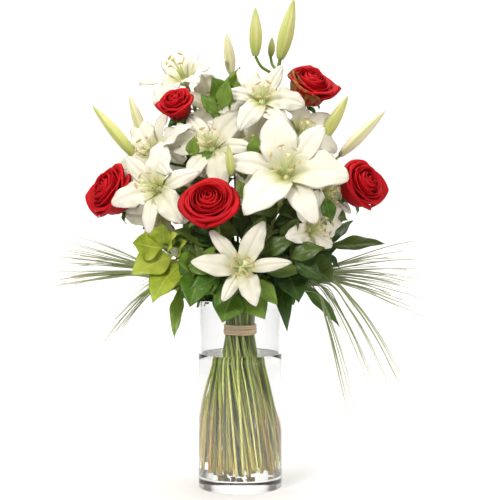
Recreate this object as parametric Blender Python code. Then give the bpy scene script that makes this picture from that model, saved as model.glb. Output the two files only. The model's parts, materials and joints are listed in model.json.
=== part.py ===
"""Lilies, roses, leaves and bear grass, hand-tied in a clear cylinder vase with water.

Metres, +Z up. The origin is the middle of the vase's underside, and the front faces -Y.
Every stem runs from its foot in the water, through the tie, to what it carries.
"""

import math
from collections import namedtuple

import bmesh
import bpy
from mathutils import Matrix, Vector

UP = Vector((0, 0, 1))
GAP = 0.0003

# The vase: a straight cylinder with a thick base, a rounded heel and a fire-polished rim
VASE_RADIUS = 0.055
VASE_HEIGHT = 0.250
WALL = 0.0035
FLOOR = 0.0165
HEEL = 0.009
INNER_HEEL = 0.006
VASE_SIDES = 32

# The water, and the tie round the stems
WATER_LEVEL = 0.178
HOLE_GAP = 0.0005
TIE_HEIGHT = 0.210
TIE_WIDTH = 0.013
TIE_THICKNESS = 0.0016
TIE_GAP = 0.0007
TIE_SIDES = 24

# The spiral of the stems: how far they spread and turn from the tie down to the floor
SPREAD = 1.15
SPREAD_DEPTH = 0.085
TURN = math.radians(78)
STEM_GAP = 0.0007
BUNDLE_RADIUS = 0.022
PACKING_ROUNDS = 600
PACKING_PULL = 0.992
SPREAD_POWER = 1.5
TURN_POWER = 1.2
FOOT_CLEARANCE = 0.002
FOOT_STEP = 0.001

# Radii of the stems at their feet, and of the stalks to flowers and buds
LILY_STEM = 0.0038
ROSE_STEM = 0.0029
SPRIG_STEM = 0.0022
GRASS_SHEATH = 0.0030
FLOWER_STALK = 0.0024
BUD_STALK = 0.0018
ROSE_CUP = 0.0058
TOP_TAPER = 0.25

# Leaves and blades
LEAF_THICKNESS = 0.0012
LEAF_FOLD = 0.10
LEAF_STALK = 0.0020
LILY_BASE_RADIUS = 0.0035
BLADE_WIDTH = 0.0022

# Numbers of sides and rings that keep the solids light
STEM_SIDES = 6
STALK_SIDES = 5
STEPS_BELOW = 4
STEPS_ABOVE = 6
STEPS_STALK = 3
LEAF_STEPS = (0.0, 0.18, 0.45, 0.75, 1.0)
BLADE_STEPS = (0.0, 0.2, 0.4, 0.6, 0.8, 1.0)
TEPALS = 6
COLUMNS_PER_TEPAL = 4
PISTIL_SIDES = 6
BUD_SIDES = 6
ROSE_SIDES = 15
SMOOTH_UNDER = math.radians(40)

# What the tie holds. A share is a place along the part of a stem above the tie, 1 being its end.
# A leaf's face is the side that its upper surface turns to, and arch lifts its middle.
# A lily's leans are its tepals' angles from its axis at the throat and at their tips.
Leaf = namedtuple("Leaf", "share tip width arch face")
Lily = namedtuple("Lily", "stem share centre axis roll length leans")
Bud = namedtuple("Bud", "stem share base tip radius")
Rose = namedtuple("Rose", "centre axis radius height leaves")
Sprig = namedtuple("Sprig", "end direction lift shade leaves")
Grass = namedtuple("Grass", "end direction arch blades")
Route = namedtuple("Route", "radius end direction lift ease")


# ---------------------------------------------------------------- materials


def finish(name, colour, roughness, metallic=0.0, transmission=0.0):
    """A Principled material with the sub-part's own colour."""
    material = bpy.data.materials.new(name)
    material.use_nodes = True
    shader = material.node_tree.nodes["Principled BSDF"]
    shader.inputs["Base Color"].default_value = (*colour, 1)
    shader.inputs["Roughness"].default_value = roughness
    shader.inputs["Metallic"].default_value = metallic
    shader.inputs["Transmission Weight"].default_value = transmission
    return material


def clear_scene():
    for thing in list(bpy.data.objects):
        bpy.data.objects.remove(thing, do_unlink=True)


# ---------------------------------------------------------------- solids


def add_solid(name, builder, material):
    """Turns a closed bmesh into an object with faces that point out and smooth shading."""
    bmesh.ops.recalc_face_normals(builder, faces=builder.faces)
    mesh = bpy.data.meshes.new(name)
    builder.to_mesh(mesh)
    builder.free()
    mesh.shade_smooth()
    mesh.set_sharp_from_angle(angle=SMOOTH_UNDER)
    mesh.materials.append(material)
    solid = bpy.data.objects.new(name, mesh)
    bpy.context.scene.collection.objects.link(solid)
    return solid


def join_rings(builder, low, high, mirrored):
    """Triangles between two rings. The diagonals zigzag, so both sides of a thin leaf match."""
    if len(low) == 1 or len(high) == 1:
        tip, ring = (low[0], high) if len(low) == 1 else (high[0], low)
        for index, corner in enumerate(ring):
            builder.faces.new((tip, corner, ring[(index + 1) % len(ring)]))
        return
    for index in range(len(low)):
        after = (index + 1) % len(low)
        if (index % 2 == 0) != mirrored:
            builder.faces.new((low[index], high[after], low[after]))
            builder.faces.new((low[index], high[index], high[after]))
        else:
            builder.faces.new((low[after], low[index], high[index]))
            builder.faces.new((low[after], high[index], high[after]))


def loft(name, rings, material, mirror_from=None, closed=False):
    """One closed body through rings of points. A ring of one point is a tip."""
    builder = bmesh.new()
    loops = [[builder.verts.new(point) for point in ring] for ring in rings]
    for step, (low, high) in enumerate(zip(loops, loops[1:])):
        join_rings(builder, low, high, mirror_from is not None and step >= mirror_from)
    if closed:
        join_rings(builder, loops[-1], loops[0], False)
    else:
        for end in (loops[0], loops[-1]):
            if len(end) > 1:
                builder.faces.new(end)
    return add_solid(name, builder, material)


def circle(radius, height, sides):
    angles = [math.tau * k / sides for k in range(sides)]
    return [Vector((radius * math.cos(a), radius * math.sin(a), height)) for a in angles]


def arc(centre_radius, centre_height, radius, start, end, steps):
    """Points (radius, height) of a quarter round in a turned profile, angles in degrees."""
    found = []
    for k in range(steps + 1):
        angle = math.radians(start + (end - start) * k / steps)
        found.append(
            (centre_radius + radius * math.cos(angle), centre_height + radius * math.sin(angle))
        )
    return found


def turned(name, profile, sides, material):
    """A closed body turned round Z. Its profile starts and ends on the axis."""
    rings = []
    for radius, height in profile:
        on_axis = radius == 0
        rings.append([Vector((0, 0, height))] if on_axis else circle(radius, height, sides))
    return loft(name, rings, material)


def fuse(name, solids, material):
    """Joins overlapping closed solids into one body and removes the ones it was made from."""
    first, others = solids[0], solids[1:]
    if others:
        gathered = bpy.data.collections.new(name + "_pieces")
        bpy.context.scene.collection.children.link(gathered)
        for other in others:
            gathered.objects.link(other)
        union = first.modifiers.new("union", "BOOLEAN")
        union.operation = "UNION"
        union.operand_type = "COLLECTION"
        union.collection = gathered
    body = applied(name, first, material)
    for other in others:
        bpy.data.objects.remove(other)
    if others:
        bpy.data.collections.remove(gathered)
    return body


def applied(name, source, material):
    """A new object with the source's modifiers applied. The source is removed."""
    bpy.context.view_layer.update()
    graph = bpy.context.evaluated_depsgraph_get()
    mesh = bpy.data.meshes.new_from_object(source.evaluated_get(graph))
    mesh.name = name
    mesh.materials.clear()
    mesh.materials.append(material)
    mesh.shade_smooth()
    mesh.set_sharp_from_angle(angle=SMOOTH_UNDER)
    bpy.data.objects.remove(source)
    body = bpy.data.objects.new(name, mesh)
    bpy.context.scene.collection.objects.link(body)
    return body


# ---------------------------------------------------------------- curves


def bezier(start, lead, trail, end, steps):
    """Points along a cubic curve that leaves start towards lead and reaches end from trail."""
    found = []
    for t in steps:
        s = 1 - t
        found.append(s**3 * start + 3 * s * s * t * lead + 3 * s * t * t * trail + t**3 * end)
    return found


def even(count):
    return [k / count for k in range(count + 1)]


def tangents(path):
    found = []
    for k in range(len(path)):
        ahead = path[min(k + 1, len(path) - 1)]
        behind = path[max(k - 1, 0)]
        found.append((ahead - behind).normalized())
    return found


def along(path, share):
    """The point and direction at a share of a path's steps."""
    place = share * (len(path) - 1)
    k = min(int(place), len(path) - 2)
    rest = place - k
    return path[k].lerp(path[k + 1], rest), (path[k + 1] - path[k]).normalized()


def tube_rings(path, radii, sides, end_direction=None):
    """Round rings along a path, carried from one to the next without twist."""
    rings = []
    side = Vector((1, 0, 0))
    directions = tangents(path)
    if end_direction:
        directions[-1] = end_direction
    for point, direction, radius in zip(path, directions, radii):
        side = (side - side.dot(direction) * direction).normalized()
        across = direction.cross(side)
        ring = []
        for k in range(sides):
            angle = math.tau * k / sides
            ring.append(point + radius * (math.cos(angle) * side + math.sin(angle) * across))
        rings.append(ring)
    return rings


def leaf_rings(path, widths, face):
    """Four-cornered rings: edge, top, edge, underside. The edges rise, which folds the leaf."""
    rings = []
    for point, direction, width in zip(path, tangents(path), widths):
        if width == 0:
            rings.append([point])
            continue
        normal = (face - face.dot(direction) * direction).normalized()
        side = direction.cross(normal)
        half = side * width / 2
        raised = normal * width * LEAF_FOLD
        middle = normal * LEAF_THICKNESS / 2
        rings.append([point + half + raised, point + middle, point - half + raised, point - middle])
    return rings


def blade_rings(path):
    """Three-cornered rings for a blade of grass, thinner towards its tip."""
    rings = []
    count = len(path) - 1
    for k, ring in enumerate(tube_rings(path, [BLADE_WIDTH / 2] * len(path), 3)):
        share = 1 - 0.6 * k / count
        rings.append([path[k].lerp(corner, share) for corner in ring] if k < count else [path[k]])
    return rings


# ---------------------------------------------------------------- the bundle of stems


def pack_stems(plan):
    """Places the stems' sections side by side in the tie, those that lean out most outermost."""
    places = {}
    for name, route in plan.items():
        away = Vector((route.end.x, route.end.y)) / (route.end.z - TIE_HEIGHT)
        if away.length > 1:
            away.normalize()
        places[name] = away * BUNDLE_RADIUS
    names = list(plan)
    for _ in range(PACKING_ROUNDS):
        for name in names:
            places[name] *= PACKING_PULL
        for first in range(len(names)):
            for second in range(first):
                one, two = names[first], names[second]
                between = places[one] - places[two]
                apart = plan[one].radius + plan[two].radius + STEM_GAP
                if between.length < apart:
                    push = between.normalized() * (apart - between.length) / 2
                    places[one] += push
                    places[two] -= push
    return places


def below_tie(place, foot):
    """The spiral part of a stem, from its foot up to the tie."""
    points = []
    for k in range(STEPS_BELOW + 1):
        height = foot + (TIE_HEIGHT - foot) * k / STEPS_BELOW
        down = max(TIE_HEIGHT - height, 0.0)
        scale = 1 + SPREAD * (1 - math.exp(-((down / SPREAD_DEPTH) ** SPREAD_POWER)))
        turn = TURN * (down / (TIE_HEIGHT - FLOOR)) ** TURN_POWER
        spot = Matrix.Rotation(turn, 2) @ (place * scale)
        points.append(Vector((spot.x, spot.y, height)))
    return points


def whole_stem(place, foot, route):
    """The stem's path: spiral in the water, upright through the tie, then out to its end."""
    lower = below_tie(place, foot)
    start = lower[-1]
    trail = route.end - route.direction * route.ease
    upper = bezier(start, start + UP * route.lift, trail, route.end, even(STEPS_ABOVE))
    return lower + upper[1:]


# ---------------------------------------------------------------- vase, water and tie


def make_vase(material):
    radius, inside = VASE_RADIUS, VASE_RADIUS - WALL
    lip = WALL / 2
    profile = [(0, 0)]
    profile += arc(radius - HEEL, HEEL, HEEL, -90, 0, 4)
    profile += arc(radius - lip, VASE_HEIGHT - lip, lip, 0, 180, 4)
    profile += arc(inside - INNER_HEEL, FLOOR + INNER_HEEL, INNER_HEEL, 0, -90, 2)
    profile += [(0, FLOOR)]
    return turned("vase", profile, VASE_SIDES, material)


def make_water(stem_paths, material):
    """The water's body, with a clear hole round each stem that stands in it."""
    radius = VASE_RADIUS - WALL - GAP
    bottom = FLOOR + GAP
    profile = [(0, bottom)]
    profile += arc(radius - INNER_HEEL, bottom + INNER_HEEL, INNER_HEEL, -90, 0, 2)
    profile += [(radius, WATER_LEVEL), (0, WATER_LEVEL)]
    water = turned("water_uncut", profile, VASE_SIDES, material)
    gathered = bpy.data.collections.new("stem_holes")
    bpy.context.scene.collection.children.link(gathered)
    for radius, path in stem_paths:
        wet = path[: STEPS_BELOW + 1]
        wet[0] = wet[0] - UP * GAP
        rings = tube_rings(wet, [radius + HOLE_GAP] * len(wet), STEM_SIDES)
        hole = loft("stem_hole", rings, material)
        bpy.context.scene.collection.objects.unlink(hole)
        gathered.objects.link(hole)
    cut = water.modifiers.new("holes", "BOOLEAN")
    cut.operation = "DIFFERENCE"
    cut.operand_type = "COLLECTION"
    cut.collection = gathered
    body = applied("water", water, material)
    for hole in list(gathered.objects):
        bpy.data.objects.remove(hole)
    bpy.data.collections.remove(gathered)
    return body


def make_tie(bundle_radius, material):
    """A flat band, a little fuller in the middle of its width."""
    inside = bundle_radius + TIE_GAP
    half = TIE_WIDTH / 2
    section = [
        (inside, -half),
        (inside + TIE_THICKNESS, -half * 0.8),
        (inside + TIE_THICKNESS * 1.3, 0),
        (inside + TIE_THICKNESS, half * 0.8),
        (inside, half),
    ]
    rings = []
    for k in range(TIE_SIDES):
        angle = math.tau * k / TIE_SIDES
        outward = Vector((math.cos(angle), math.sin(angle), 0))
        rings.append([outward * radius + UP * (TIE_HEIGHT + height) for radius, height in section])
    return loft("raffia_tie", rings, material, closed=True)


# ---------------------------------------------------------------- lilies


def local_frame(base, axis, roll):
    """Places local +Z along axis at base, with local +X turned by roll degrees from the side."""
    axis = axis.normalized()
    side = UP.cross(axis).normalized()
    turn = Matrix.Rotation(math.radians(roll), 3, axis)
    side = turn @ side
    frame = Matrix((side, axis.cross(side), axis)).transposed().to_4x4()
    frame.translation = base
    return frame


def tepal_curve(lily, share):
    """Distance from the flower's axis and height above its base at a share of a tepal."""
    steps = 24
    radius, height = LILY_BASE_RADIUS, 0.0
    first, last = lily.leans
    for k in range(steps):
        along_tepal = share * (k + 0.5) / steps
        lean = math.radians(first + (last - first) * along_tepal**0.85)
        radius += math.sin(lean) * lily.length * share / steps
        height += math.cos(lean) * lily.length * share / steps
    return radius, height


def lily_base(lily):
    """The point where a flower joins its stalk, from where the middle of its mouth is."""
    depth = tepal_curve(lily, 0.5)[1]
    return Vector(lily.centre) - Vector(lily.axis).normalized() * depth


def make_lily(name, lily, material):
    """Six pointed tepals that share one throat, as one thin closed body."""
    frame = local_frame(lily_base(lily), Vector(lily.axis), lily.roll)
    columns = TEPALS * COLUMNS_PER_TEPAL
    outline = (0.44, 0.78, 1.0, 0.78)
    bands = (0.14, 0.45, 0.75, 1.0)
    thickness = (0.0012, 0.0013, 0.0011, 0.0)
    under, over = [], []
    for band, thick in zip(bands, thickness):
        low, high = [], []
        for column in range(columns):
            edge = outline[column % COLUMNS_PER_TEPAL]
            angle = math.tau * (column - 2) / columns
            radius, height = tepal_curve(lily, band * edge)
            across = Vector((math.cos(angle), math.sin(angle), 0))
            low.append(frame @ (across * radius + UP * (height - thick / 2)))
            high.append(frame @ (across * (radius - thick * 0.6) + UP * (height + thick / 2)))
        under.append(low)
        over.append(high)
    throat = tepal_curve(lily, bands[0] * outline[0])[1]
    rings = [[frame @ Vector((0, 0, 0))]]
    rings += under
    rings += over[-2::-1]
    rings += [[frame @ Vector((0, 0, throat * 0.8))]]
    return loft(name, rings, material, mirror_from=len(bands))


def make_pistil(name, lily, material):
    """The style and its stigma, standing in the throat."""
    frame = local_frame(lily_base(lily), Vector(lily.axis), 0)
    foot = tepal_curve(lily, 0.14)[1] + 0.0035
    reach = foot + lily.length * 0.50
    stations = ((foot, 0.0014), (foot + 0.012, 0.0009), (reach - 0.004, 0.0011))
    knob = ((reach - 0.002, 0.0026), (reach, 0.0020))
    rings = []
    for height, radius in stations + knob:
        rings.append([frame @ point for point in circle(radius, height, PISTIL_SIDES)])
    return loft(name, rings, material)


def make_bud(name, bud, material):
    """A long bud with three soft ridges, fullest below its middle."""
    axis = Vector(bud.tip) - Vector(bud.base)
    frame = local_frame(Vector(bud.base), axis, 0)
    stations = ((0.0, 0.32), (0.12, 0.66), (0.38, 1.0), (0.66, 0.82), (0.88, 0.42))
    rings = []
    for share, fullness in stations:
        ring = []
        for k in range(BUD_SIDES):
            ridge = 1.06 if k % 2 == 0 else 0.94
            reach = bud.radius * fullness * ridge
            angle = math.tau * k / BUD_SIDES
            corner = (reach * math.cos(angle), reach * math.sin(angle), share * axis.length)
            ring.append(frame @ Vector(corner))
        rings.append(ring)
    rings.append([Vector(bud.tip)])
    return loft(name, rings, material)


# ---------------------------------------------------------------- roses


def rose_base(rose):
    return Vector(rose.centre) - Vector(rose.axis).normalized() * rose.height * 0.5


def make_rose(name, rose, material):
    """The closed outer shape of an open bloom, with its dished middle and waved outer petals."""
    frame = local_frame(rose_base(rose), Vector(rose.axis), 0)
    profile = (
        (0.16, 0.0),
        (0.55, 0.10),
        (0.88, 0.34),
        (1.0, 0.66),
        (0.93, 0.86),
        (0.62, 1.0),
        (0.28, 0.94),
    )
    rings = [[frame @ Vector((0, 0, 0))]]
    for share, level in profile:
        ring = []
        for k in range(ROSE_SIDES):
            angle = math.tau * k / ROSE_SIDES
            wave = 1 + 0.05 * math.cos(5 * angle) * share
            reach = rose.radius * share * wave
            corner = (reach * math.cos(angle), reach * math.sin(angle), level * rose.height)
            ring.append(frame @ Vector(corner))
        rings.append(ring)
    rings.append([frame @ Vector((0, 0, rose.height * 0.90))])
    return loft(name, rings, material)


# ---------------------------------------------------------------- plants


def leaf_widths(width):
    """An ovate outline from the leaf's stalk to its tip."""
    widths = []
    for share in LEAF_STEPS[:-1]:
        widths.append(max(width * math.sin(math.pi * share**0.78) ** 0.85, LEAF_STALK))
    return widths + [0.0]


def make_leaf(name, start, leaf, material):
    """A thin folded leaf that leaves the stem and bends over towards its tip."""
    tip = Vector(leaf.tip)
    reach = tip - start
    lift = UP * leaf.arch * reach.length
    path = bezier(start, start + reach * 0.35 + lift, start + reach * 0.75 + lift, tip, LEAF_STEPS)
    return loft(name, leaf_rings(path, leaf_widths(leaf.width), Vector(leaf.face)), material)


def make_stalk(name, start, direction, end, axis, radius, material):
    """A short stalk from the stem to the base of a flower or bud."""
    reach = (end - start).length
    path = bezier(
        start, start + direction * reach * 0.4, end - axis * reach * 0.4, end, even(STEPS_STALK)
    )
    return loft(name, tube_rings(path, [radius] * len(path), STALK_SIDES, axis), material)


def make_plant(name, path, radii, axis, stalks, leaves, material):
    """A stem with the stalks and leaves that grow from it, fused into one body."""
    pieces = [loft(name + "_main", tube_rings(path, radii, STEM_SIDES, axis), material)]
    upper = path[STEPS_BELOW:]
    for k, (share, end, axis, radius) in enumerate(stalks):
        start, direction = along(upper, share)
        pieces.append(make_stalk(f"{name}_stalk_{k}", start, direction, end, axis, radius, material))
    for k, leaf in enumerate(leaves):
        start, _ = along(upper, leaf.share)
        pieces.append(make_leaf(f"{name}_leaf_{k}", start, leaf, material))
    return fuse(name, pieces, material)


def make_grass(name, path, radii, grass, material):
    """A sheath of bear grass whose blades fan out from its top."""
    pieces = [loft(name + "_sheath", tube_rings(path, radii, STALK_SIDES), material)]
    start, direction = along(path, 0.985)
    for k, tip in enumerate(grass.blades):
        reach = tip - start
        lift = UP * grass.arch * reach.length
        lead = start + direction * reach.length * 0.30 + lift
        line = bezier(start, lead, start + reach * 0.72 + lift, tip, BLADE_STEPS)
        pieces.append(loft(f"{name}_blade_{k}", blade_rings(line), material))
    return fuse(name, pieces, material)


# ---------------------------------------------------------------- the arrangement

LILIES = {
    "lily_front": Lily(
        "lily_stem_front", 1, (0.003, -0.116, 0.300), (0.05, -0.96, 0.20), 4, 0.064, (30, 112)
    ),
    "lily_right_large": Lily(
        "lily_stem_right", 1, (0.058, -0.096, 0.422), (-0.05, -0.85, 0.52), 50, 0.084, (24, 122)
    ),
    "lily_right_low": Lily(
        "lily_stem_right", 0.45, (0.096, -0.080, 0.346), (0.62, -0.78, 0.12), 20, 0.056, (30, 110)
    ),
    "lily_left_upper": Lily(
        "lily_stem_left", 1, (-0.038, -0.058, 0.453), (-0.2, -0.84, 0.5), 0, 0.064, (28, 118)
    ),
    "lily_left": Lily(
        "lily_stem_left", 0.55, (-0.109, -0.072, 0.399), (-0.42, -0.84, 0.3), 22, 0.062, (30, 112)
    ),
    "lily_top": Lily(
        "lily_stem_top", 0.8, (0.029, -0.046, 0.513), (0.02, -0.86, 0.5), 0, 0.056, (28, 118)
    ),
    "lily_upper_left": Lily(
        "lily_stem_back", 1, (-0.078, 0.030, 0.546), (-0.35, -0.50, 0.79), 30, 0.062, (28, 108)
    ),
    "lily_back_right": Lily(
        "lily_stem_back", 0.6, (0.060, 0.090, 0.440), (0.4, 0.85, 0.35), 10, 0.068, (28, 114)
    ),
    "lily_back_left": Lily(
        "lily_stem_back", 0.45, (-0.060, 0.096, 0.400), (-0.35, 0.9, 0.25), 34, 0.066, (30, 112)
    ),
}

BUDS = {
    "bud_top_left": Bud("lily_stem_top", 0.86, (0.020, -0.004, 0.566), (0.020, -0.010, 0.628), 0.0090),
    "bud_top_right": Bud("lily_stem_top", 1, (0.052, 0.000, 0.562), (0.070, -0.005, 0.640), 0.0105),
    "bud_top_small": Bud("lily_stem_top", 0.9, (0.040, 0.018, 0.566), (0.042, 0.020, 0.592), 0.0050),
    "bud_top_pale": Bud("lily_stem_back", 0.72, (-0.012, 0.030, 0.544), (-0.018, 0.032, 0.598), 0.0080),
    "bud_right_green": Bud("lily_stem_right", 0.62, (0.106, -0.020, 0.456), (0.139, -0.030, 0.514), 0.0088),
    "bud_right_cream": Bud("lily_stem_right", 0.55, (0.130, -0.004, 0.437), (0.189, -0.014, 0.496), 0.0085),
    "bud_left_green": Bud("lily_stem_left", 0.62, (-0.136, 0.002, 0.434), (-0.192, -0.006, 0.502), 0.0085),
    "bud_left_pale": Bud("lily_stem_left", 0.7, (-0.124, 0.016, 0.452), (-0.146, 0.022, 0.516), 0.0080),
    "bud_middle": Bud("lily_stem_left", 0.66, (-0.011, -0.092, 0.414), (-0.014, -0.106, 0.452), 0.0060),
}

ROSES = {
    "rose_front": Rose((-0.038, -0.100, 0.376), (-0.08, -0.76, 0.65), 0.0350, 0.046, (
        Leaf(0.72, (-0.078, -0.074, 0.404), 0.030, 0.05, (-0.3, -0.8, 0.6)),
        Leaf(0.60, (-0.084, -0.082, 0.344), 0.026, 0.05, (-0.3, -0.8, 0.6)),
    )),
    "rose_left": Rose((-0.164, -0.018, 0.388), (-0.72, -0.52, 0.45), 0.0320, 0.048, (
        Leaf(0.60, (-0.128, -0.010, 0.362), 0.024, 0.05, (-0.2, -0.7, 0.7)),
    )),
    "rose_upper_left": Rose((-0.081, -0.024, 0.501), (-0.30, -0.62, 0.72), 0.0225, 0.036, (
        Leaf(0.80, (-0.100, 0.010, 0.470), 0.022, 0.05, (-0.5, -0.2, 0.8)),
    )),
    "rose_upper_right": Rose((0.089, -0.010, 0.524), (0.34, -0.50, 0.80), 0.0310, 0.044, (
        Leaf(0.84, (0.110, 0.030, 0.470), 0.024, 0.05, (0.5, 0.2, 0.8)),
    )),
    "rose_right": Rose((0.154, -0.036, 0.398), (0.60, -0.66, 0.45), 0.0310, 0.046, (
        Leaf(0.75, (0.134, -0.046, 0.362), 0.024, 0.05, (0.3, -0.8, 0.5)),
    )),
}

# The leafy sprigs
SPRIGS = {
    "sprig_left_light": Sprig((-0.100, -0.040, 0.317), (-0.6, -0.3, 0.5), 0.075, "light", (
        Leaf(0.98, (-0.098, -0.064, 0.352), 0.036, 0.02, (-0.3, -1, 0.2)),
        Leaf(0.92, (-0.138, -0.048, 0.326), 0.040, 0.06, (-0.3, -1, 0.4)),
        Leaf(0.82, (-0.138, -0.060, 0.286), 0.044, 0.10, (-0.3, -1, 0.5)),
        Leaf(0.70, (-0.110, -0.088, 0.252), 0.044, 0.14, (-0.3, -1, 0.6)),
    )),
    "sprig_front_left": Sprig((-0.050, -0.078, 0.296), (-0.5, -0.7, 0.2), 0.075, "mid", (
        Leaf(0.98, (-0.078, -0.100, 0.304), 0.036, 0.10, (-0.2, -1, 0.6)),
        Leaf(0.88, (-0.062, -0.114, 0.250), 0.042, 0.18, (-0.1, -1, 0.5)),
    )),
    "sprig_front": Sprig((-0.004, -0.074, 0.268), (0, -0.9, 0.1), 0.075, "mid", (
        Leaf(0.96, (-0.022, -0.092, 0.228), 0.042, 0.12, (0, -1, 0.2)),
        Leaf(0.88, (0.032, -0.090, 0.232), 0.038, 0.14, (0.1, -1, 0.2)),
    )),
    "sprig_right_dark": Sprig((0.078, -0.046, 0.306), (0.6, -0.4, 0.5), 0.075, "dark", (
        Leaf(0.99, (0.050, -0.078, 0.350), 0.036, 0.04, (-0.1, -1, 0.3)),
        Leaf(0.94, (0.124, -0.044, 0.318), 0.040, 0.08, (0.3, -1, 0.4)),
        Leaf(0.84, (0.118, -0.078, 0.278), 0.044, 0.14, (0.2, -1, 0.5)),
        Leaf(0.70, (0.074, -0.102, 0.254), 0.044, 0.18, (0.1, -1, 0.5)),
        Leaf(0.60, (0.060, -0.090, 0.216), 0.022, 0.26, (0.1, -1, 0.3)),
    )),
    "sprig_right_low": Sprig((0.078, -0.020, 0.268), (0.9, -0.2, -0.1), 0.075, "mid", (
        Leaf(0.97, (0.130, -0.020, 0.214), 0.018, 0.12, (0.2, -0.8, 0.6)),
        Leaf(0.84, (0.112, 0.016, 0.236), 0.022, 0.20, (0.3, -0.4, 0.8)),
    )),
    "sprig_left_low": Sprig((-0.080, -0.022, 0.266), (-0.9, -0.3, -0.1), 0.075, "mid", (
        Leaf(0.97, (-0.084, -0.060, 0.204), 0.018, 0.20, (-0.3, -1, 0.3)),
        Leaf(0.90, (-0.130, -0.012, 0.254), 0.018, 0.10, (-0.2, -0.6, 0.8)),
    )),
    "sprig_right_long": Sprig((0.118, 0.004, 0.318), (0.9, 0, 0.3), 0.08, "dark", (
        Leaf(0.98, (0.190, -0.002, 0.322), 0.020, 0.05, (0, -0.9, 0.6)),
        Leaf(0.85, (0.150, 0.036, 0.350), 0.022, 0.05, (0, -0.6, 0.8)),
    )),
    "sprig_top": Sprig((-0.014, -0.016, 0.505), (-0.1, -0.3, 0.9), 0.13, "mid", (
        Leaf(0.99, (-0.036, -0.030, 0.538), 0.030, 0.02, (-0.2, -1, 0.2)),
        Leaf(0.95, (0.000, -0.008, 0.552), 0.030, 0.02, (0.2, -1, 0.2)),
        Leaf(0.88, (-0.040, 0.006, 0.498), 0.028, 0.04, (-0.4, -0.6, 0.6)),
    )),
    "sprig_back_left": Sprig((-0.048, 0.072, 0.316), (-0.4, 0.7, 0.4), 0.075, "mid", (
        Leaf(0.99, (-0.076, 0.098, 0.356), 0.040, 0.02, (-0.4, 1, 0.3)),
        Leaf(0.94, (-0.018, 0.108, 0.344), 0.040, 0.04, (0.1, 1, 0.4)),
        Leaf(0.88, (-0.104, 0.082, 0.306), 0.036, 0.08, (-0.6, 0.7, 0.6)),
        Leaf(0.76, (-0.058, 0.124, 0.276), 0.038, 0.12, (-0.3, 1, 0.6)),
        Leaf(0.64, (-0.010, 0.118, 0.252), 0.036, 0.16, (0, 1, 0.6)),
    )),
    "sprig_back_right": Sprig((0.052, 0.072, 0.318), (0.4, 0.7, 0.4), 0.075, "dark", (
        Leaf(0.99, (0.092, 0.098, 0.352), 0.040, 0.02, (0.4, 1, 0.3)),
        Leaf(0.93, (0.030, 0.112, 0.320), 0.040, 0.05, (0.2, 1, 0.4)),
        Leaf(0.88, (0.106, 0.078, 0.306), 0.036, 0.08, (0.6, 0.7, 0.6)),
        Leaf(0.74, (0.064, 0.122, 0.270), 0.038, 0.12, (0.3, 1, 0.6)),
    )),
}

# Leaves on the lilies' own stems
LILY_LEAVES = {
    "lily_stem_front": (
        Leaf(0.60, (0.030, -0.090, 0.330), 0.014, 0.05, (0, -1, 0.5)),
    ),
    "lily_stem_right": (
        Leaf(0.75, (0.026, -0.040, 0.440), 0.016, 0.03, (0, -1, 0.4)),
        Leaf(0.50, (0.118, 0.010, 0.402), 0.018, 0.06, (0.2, -0.8, 0.6)),
    ),
    "lily_stem_left": (
        Leaf(0.72, (-0.078, -0.050, 0.450), 0.018, 0.03, (-0.2, -1, 0.4)),
        Leaf(0.50, (-0.124, 0.006, 0.400), 0.018, 0.06, (-0.2, -0.8, 0.6)),
    ),
    "lily_stem_top": (
        Leaf(0.70, (0.060, -0.004, 0.478), 0.016, 0.03, (0.2, -1, 0.4)),
        Leaf(0.60, (0.010, 0.050, 0.470), 0.018, 0.05, (0, 0.6, 0.8)),
        Leaf(0.36, (0.036, -0.050, 0.376), 0.018, 0.05, (0.2, -0.8, 0.6)),
    ),
    "lily_stem_back": (
        Leaf(0.55, (-0.082, 0.066, 0.470), 0.018, 0.05, (-0.4, 0.6, 0.7)),
        Leaf(0.36, (0.036, 0.070, 0.385), 0.020, 0.05, (0.2, 0.8, 0.5)),
        Leaf(0.70, (0.030, 0.070, 0.530), 0.018, 0.05, (0.2, 0.6, 0.7)),
    ),
}


def fan(centre, spread, count):
    """Tips of grass blades between two ends of an arc, alternately nearer and further."""
    first, last = Vector(centre) - Vector(spread), Vector(centre) + Vector(spread)
    tips = []
    for k in range(count):
        tip = first.lerp(last, k / (count - 1))
        inward = 0.94 if k % 2 else 1.0
        tips.append(Vector((tip.x * inward, tip.y + 0.010 * math.sin(2.4 * k), tip.z)))
    return tips


# Bear grass: each sheath's end and direction, how its blades arch, and their tips
GRASSES = {
    "bear_grass_left": Grass(
        (-0.062, 0.010, 0.272), (-0.95, 0.0, 0.25), 0.03,
        fan((-0.236, 0.000, 0.300), (0.004, 0.020, 0.032), 8),
    ),
    "bear_grass_right": Grass(
        (0.062, 0.012, 0.270), (0.95, 0.0, 0.22), 0.05,
        fan((0.234, 0.000, 0.276), (-0.004, 0.020, 0.048), 9),
    ),
    "bear_grass_drooping": Grass(
        (0.052, -0.032, 0.262), (0.85, -0.4, 0.3), 0.30,
        fan((0.180, -0.060, 0.130), (0.040, 0.012, 0.030), 6),
    ),
    "bear_grass_back": Grass(
        (-0.050, 0.040, 0.268), (-0.7, 0.6, 0.3), 0.16,
        fan((-0.160, 0.090, 0.230), (0.030, 0.030, 0.050), 7),
    ),
}


def head_place(head):
    """Where a lily or a bud meets its stalk, and its axis."""
    if isinstance(head, Lily):
        return lily_base(head), Vector(head.axis).normalized()
    base = Vector(head.base)
    return base, (Vector(head.tip) - base).normalized()


def stalks_of(stem):
    """The stalks that leave a lily stem below its own end, for its flowers and its buds."""
    stalks = []
    for heads, radius in ((LILIES, FLOWER_STALK), (BUDS, BUD_STALK)):
        for head in heads.values():
            if head.stem == stem and head.share < 1:
                base, axis = head_place(head)
                stalks.append((head.share, base - axis * GAP, axis, radius))
    return stalks


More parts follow.
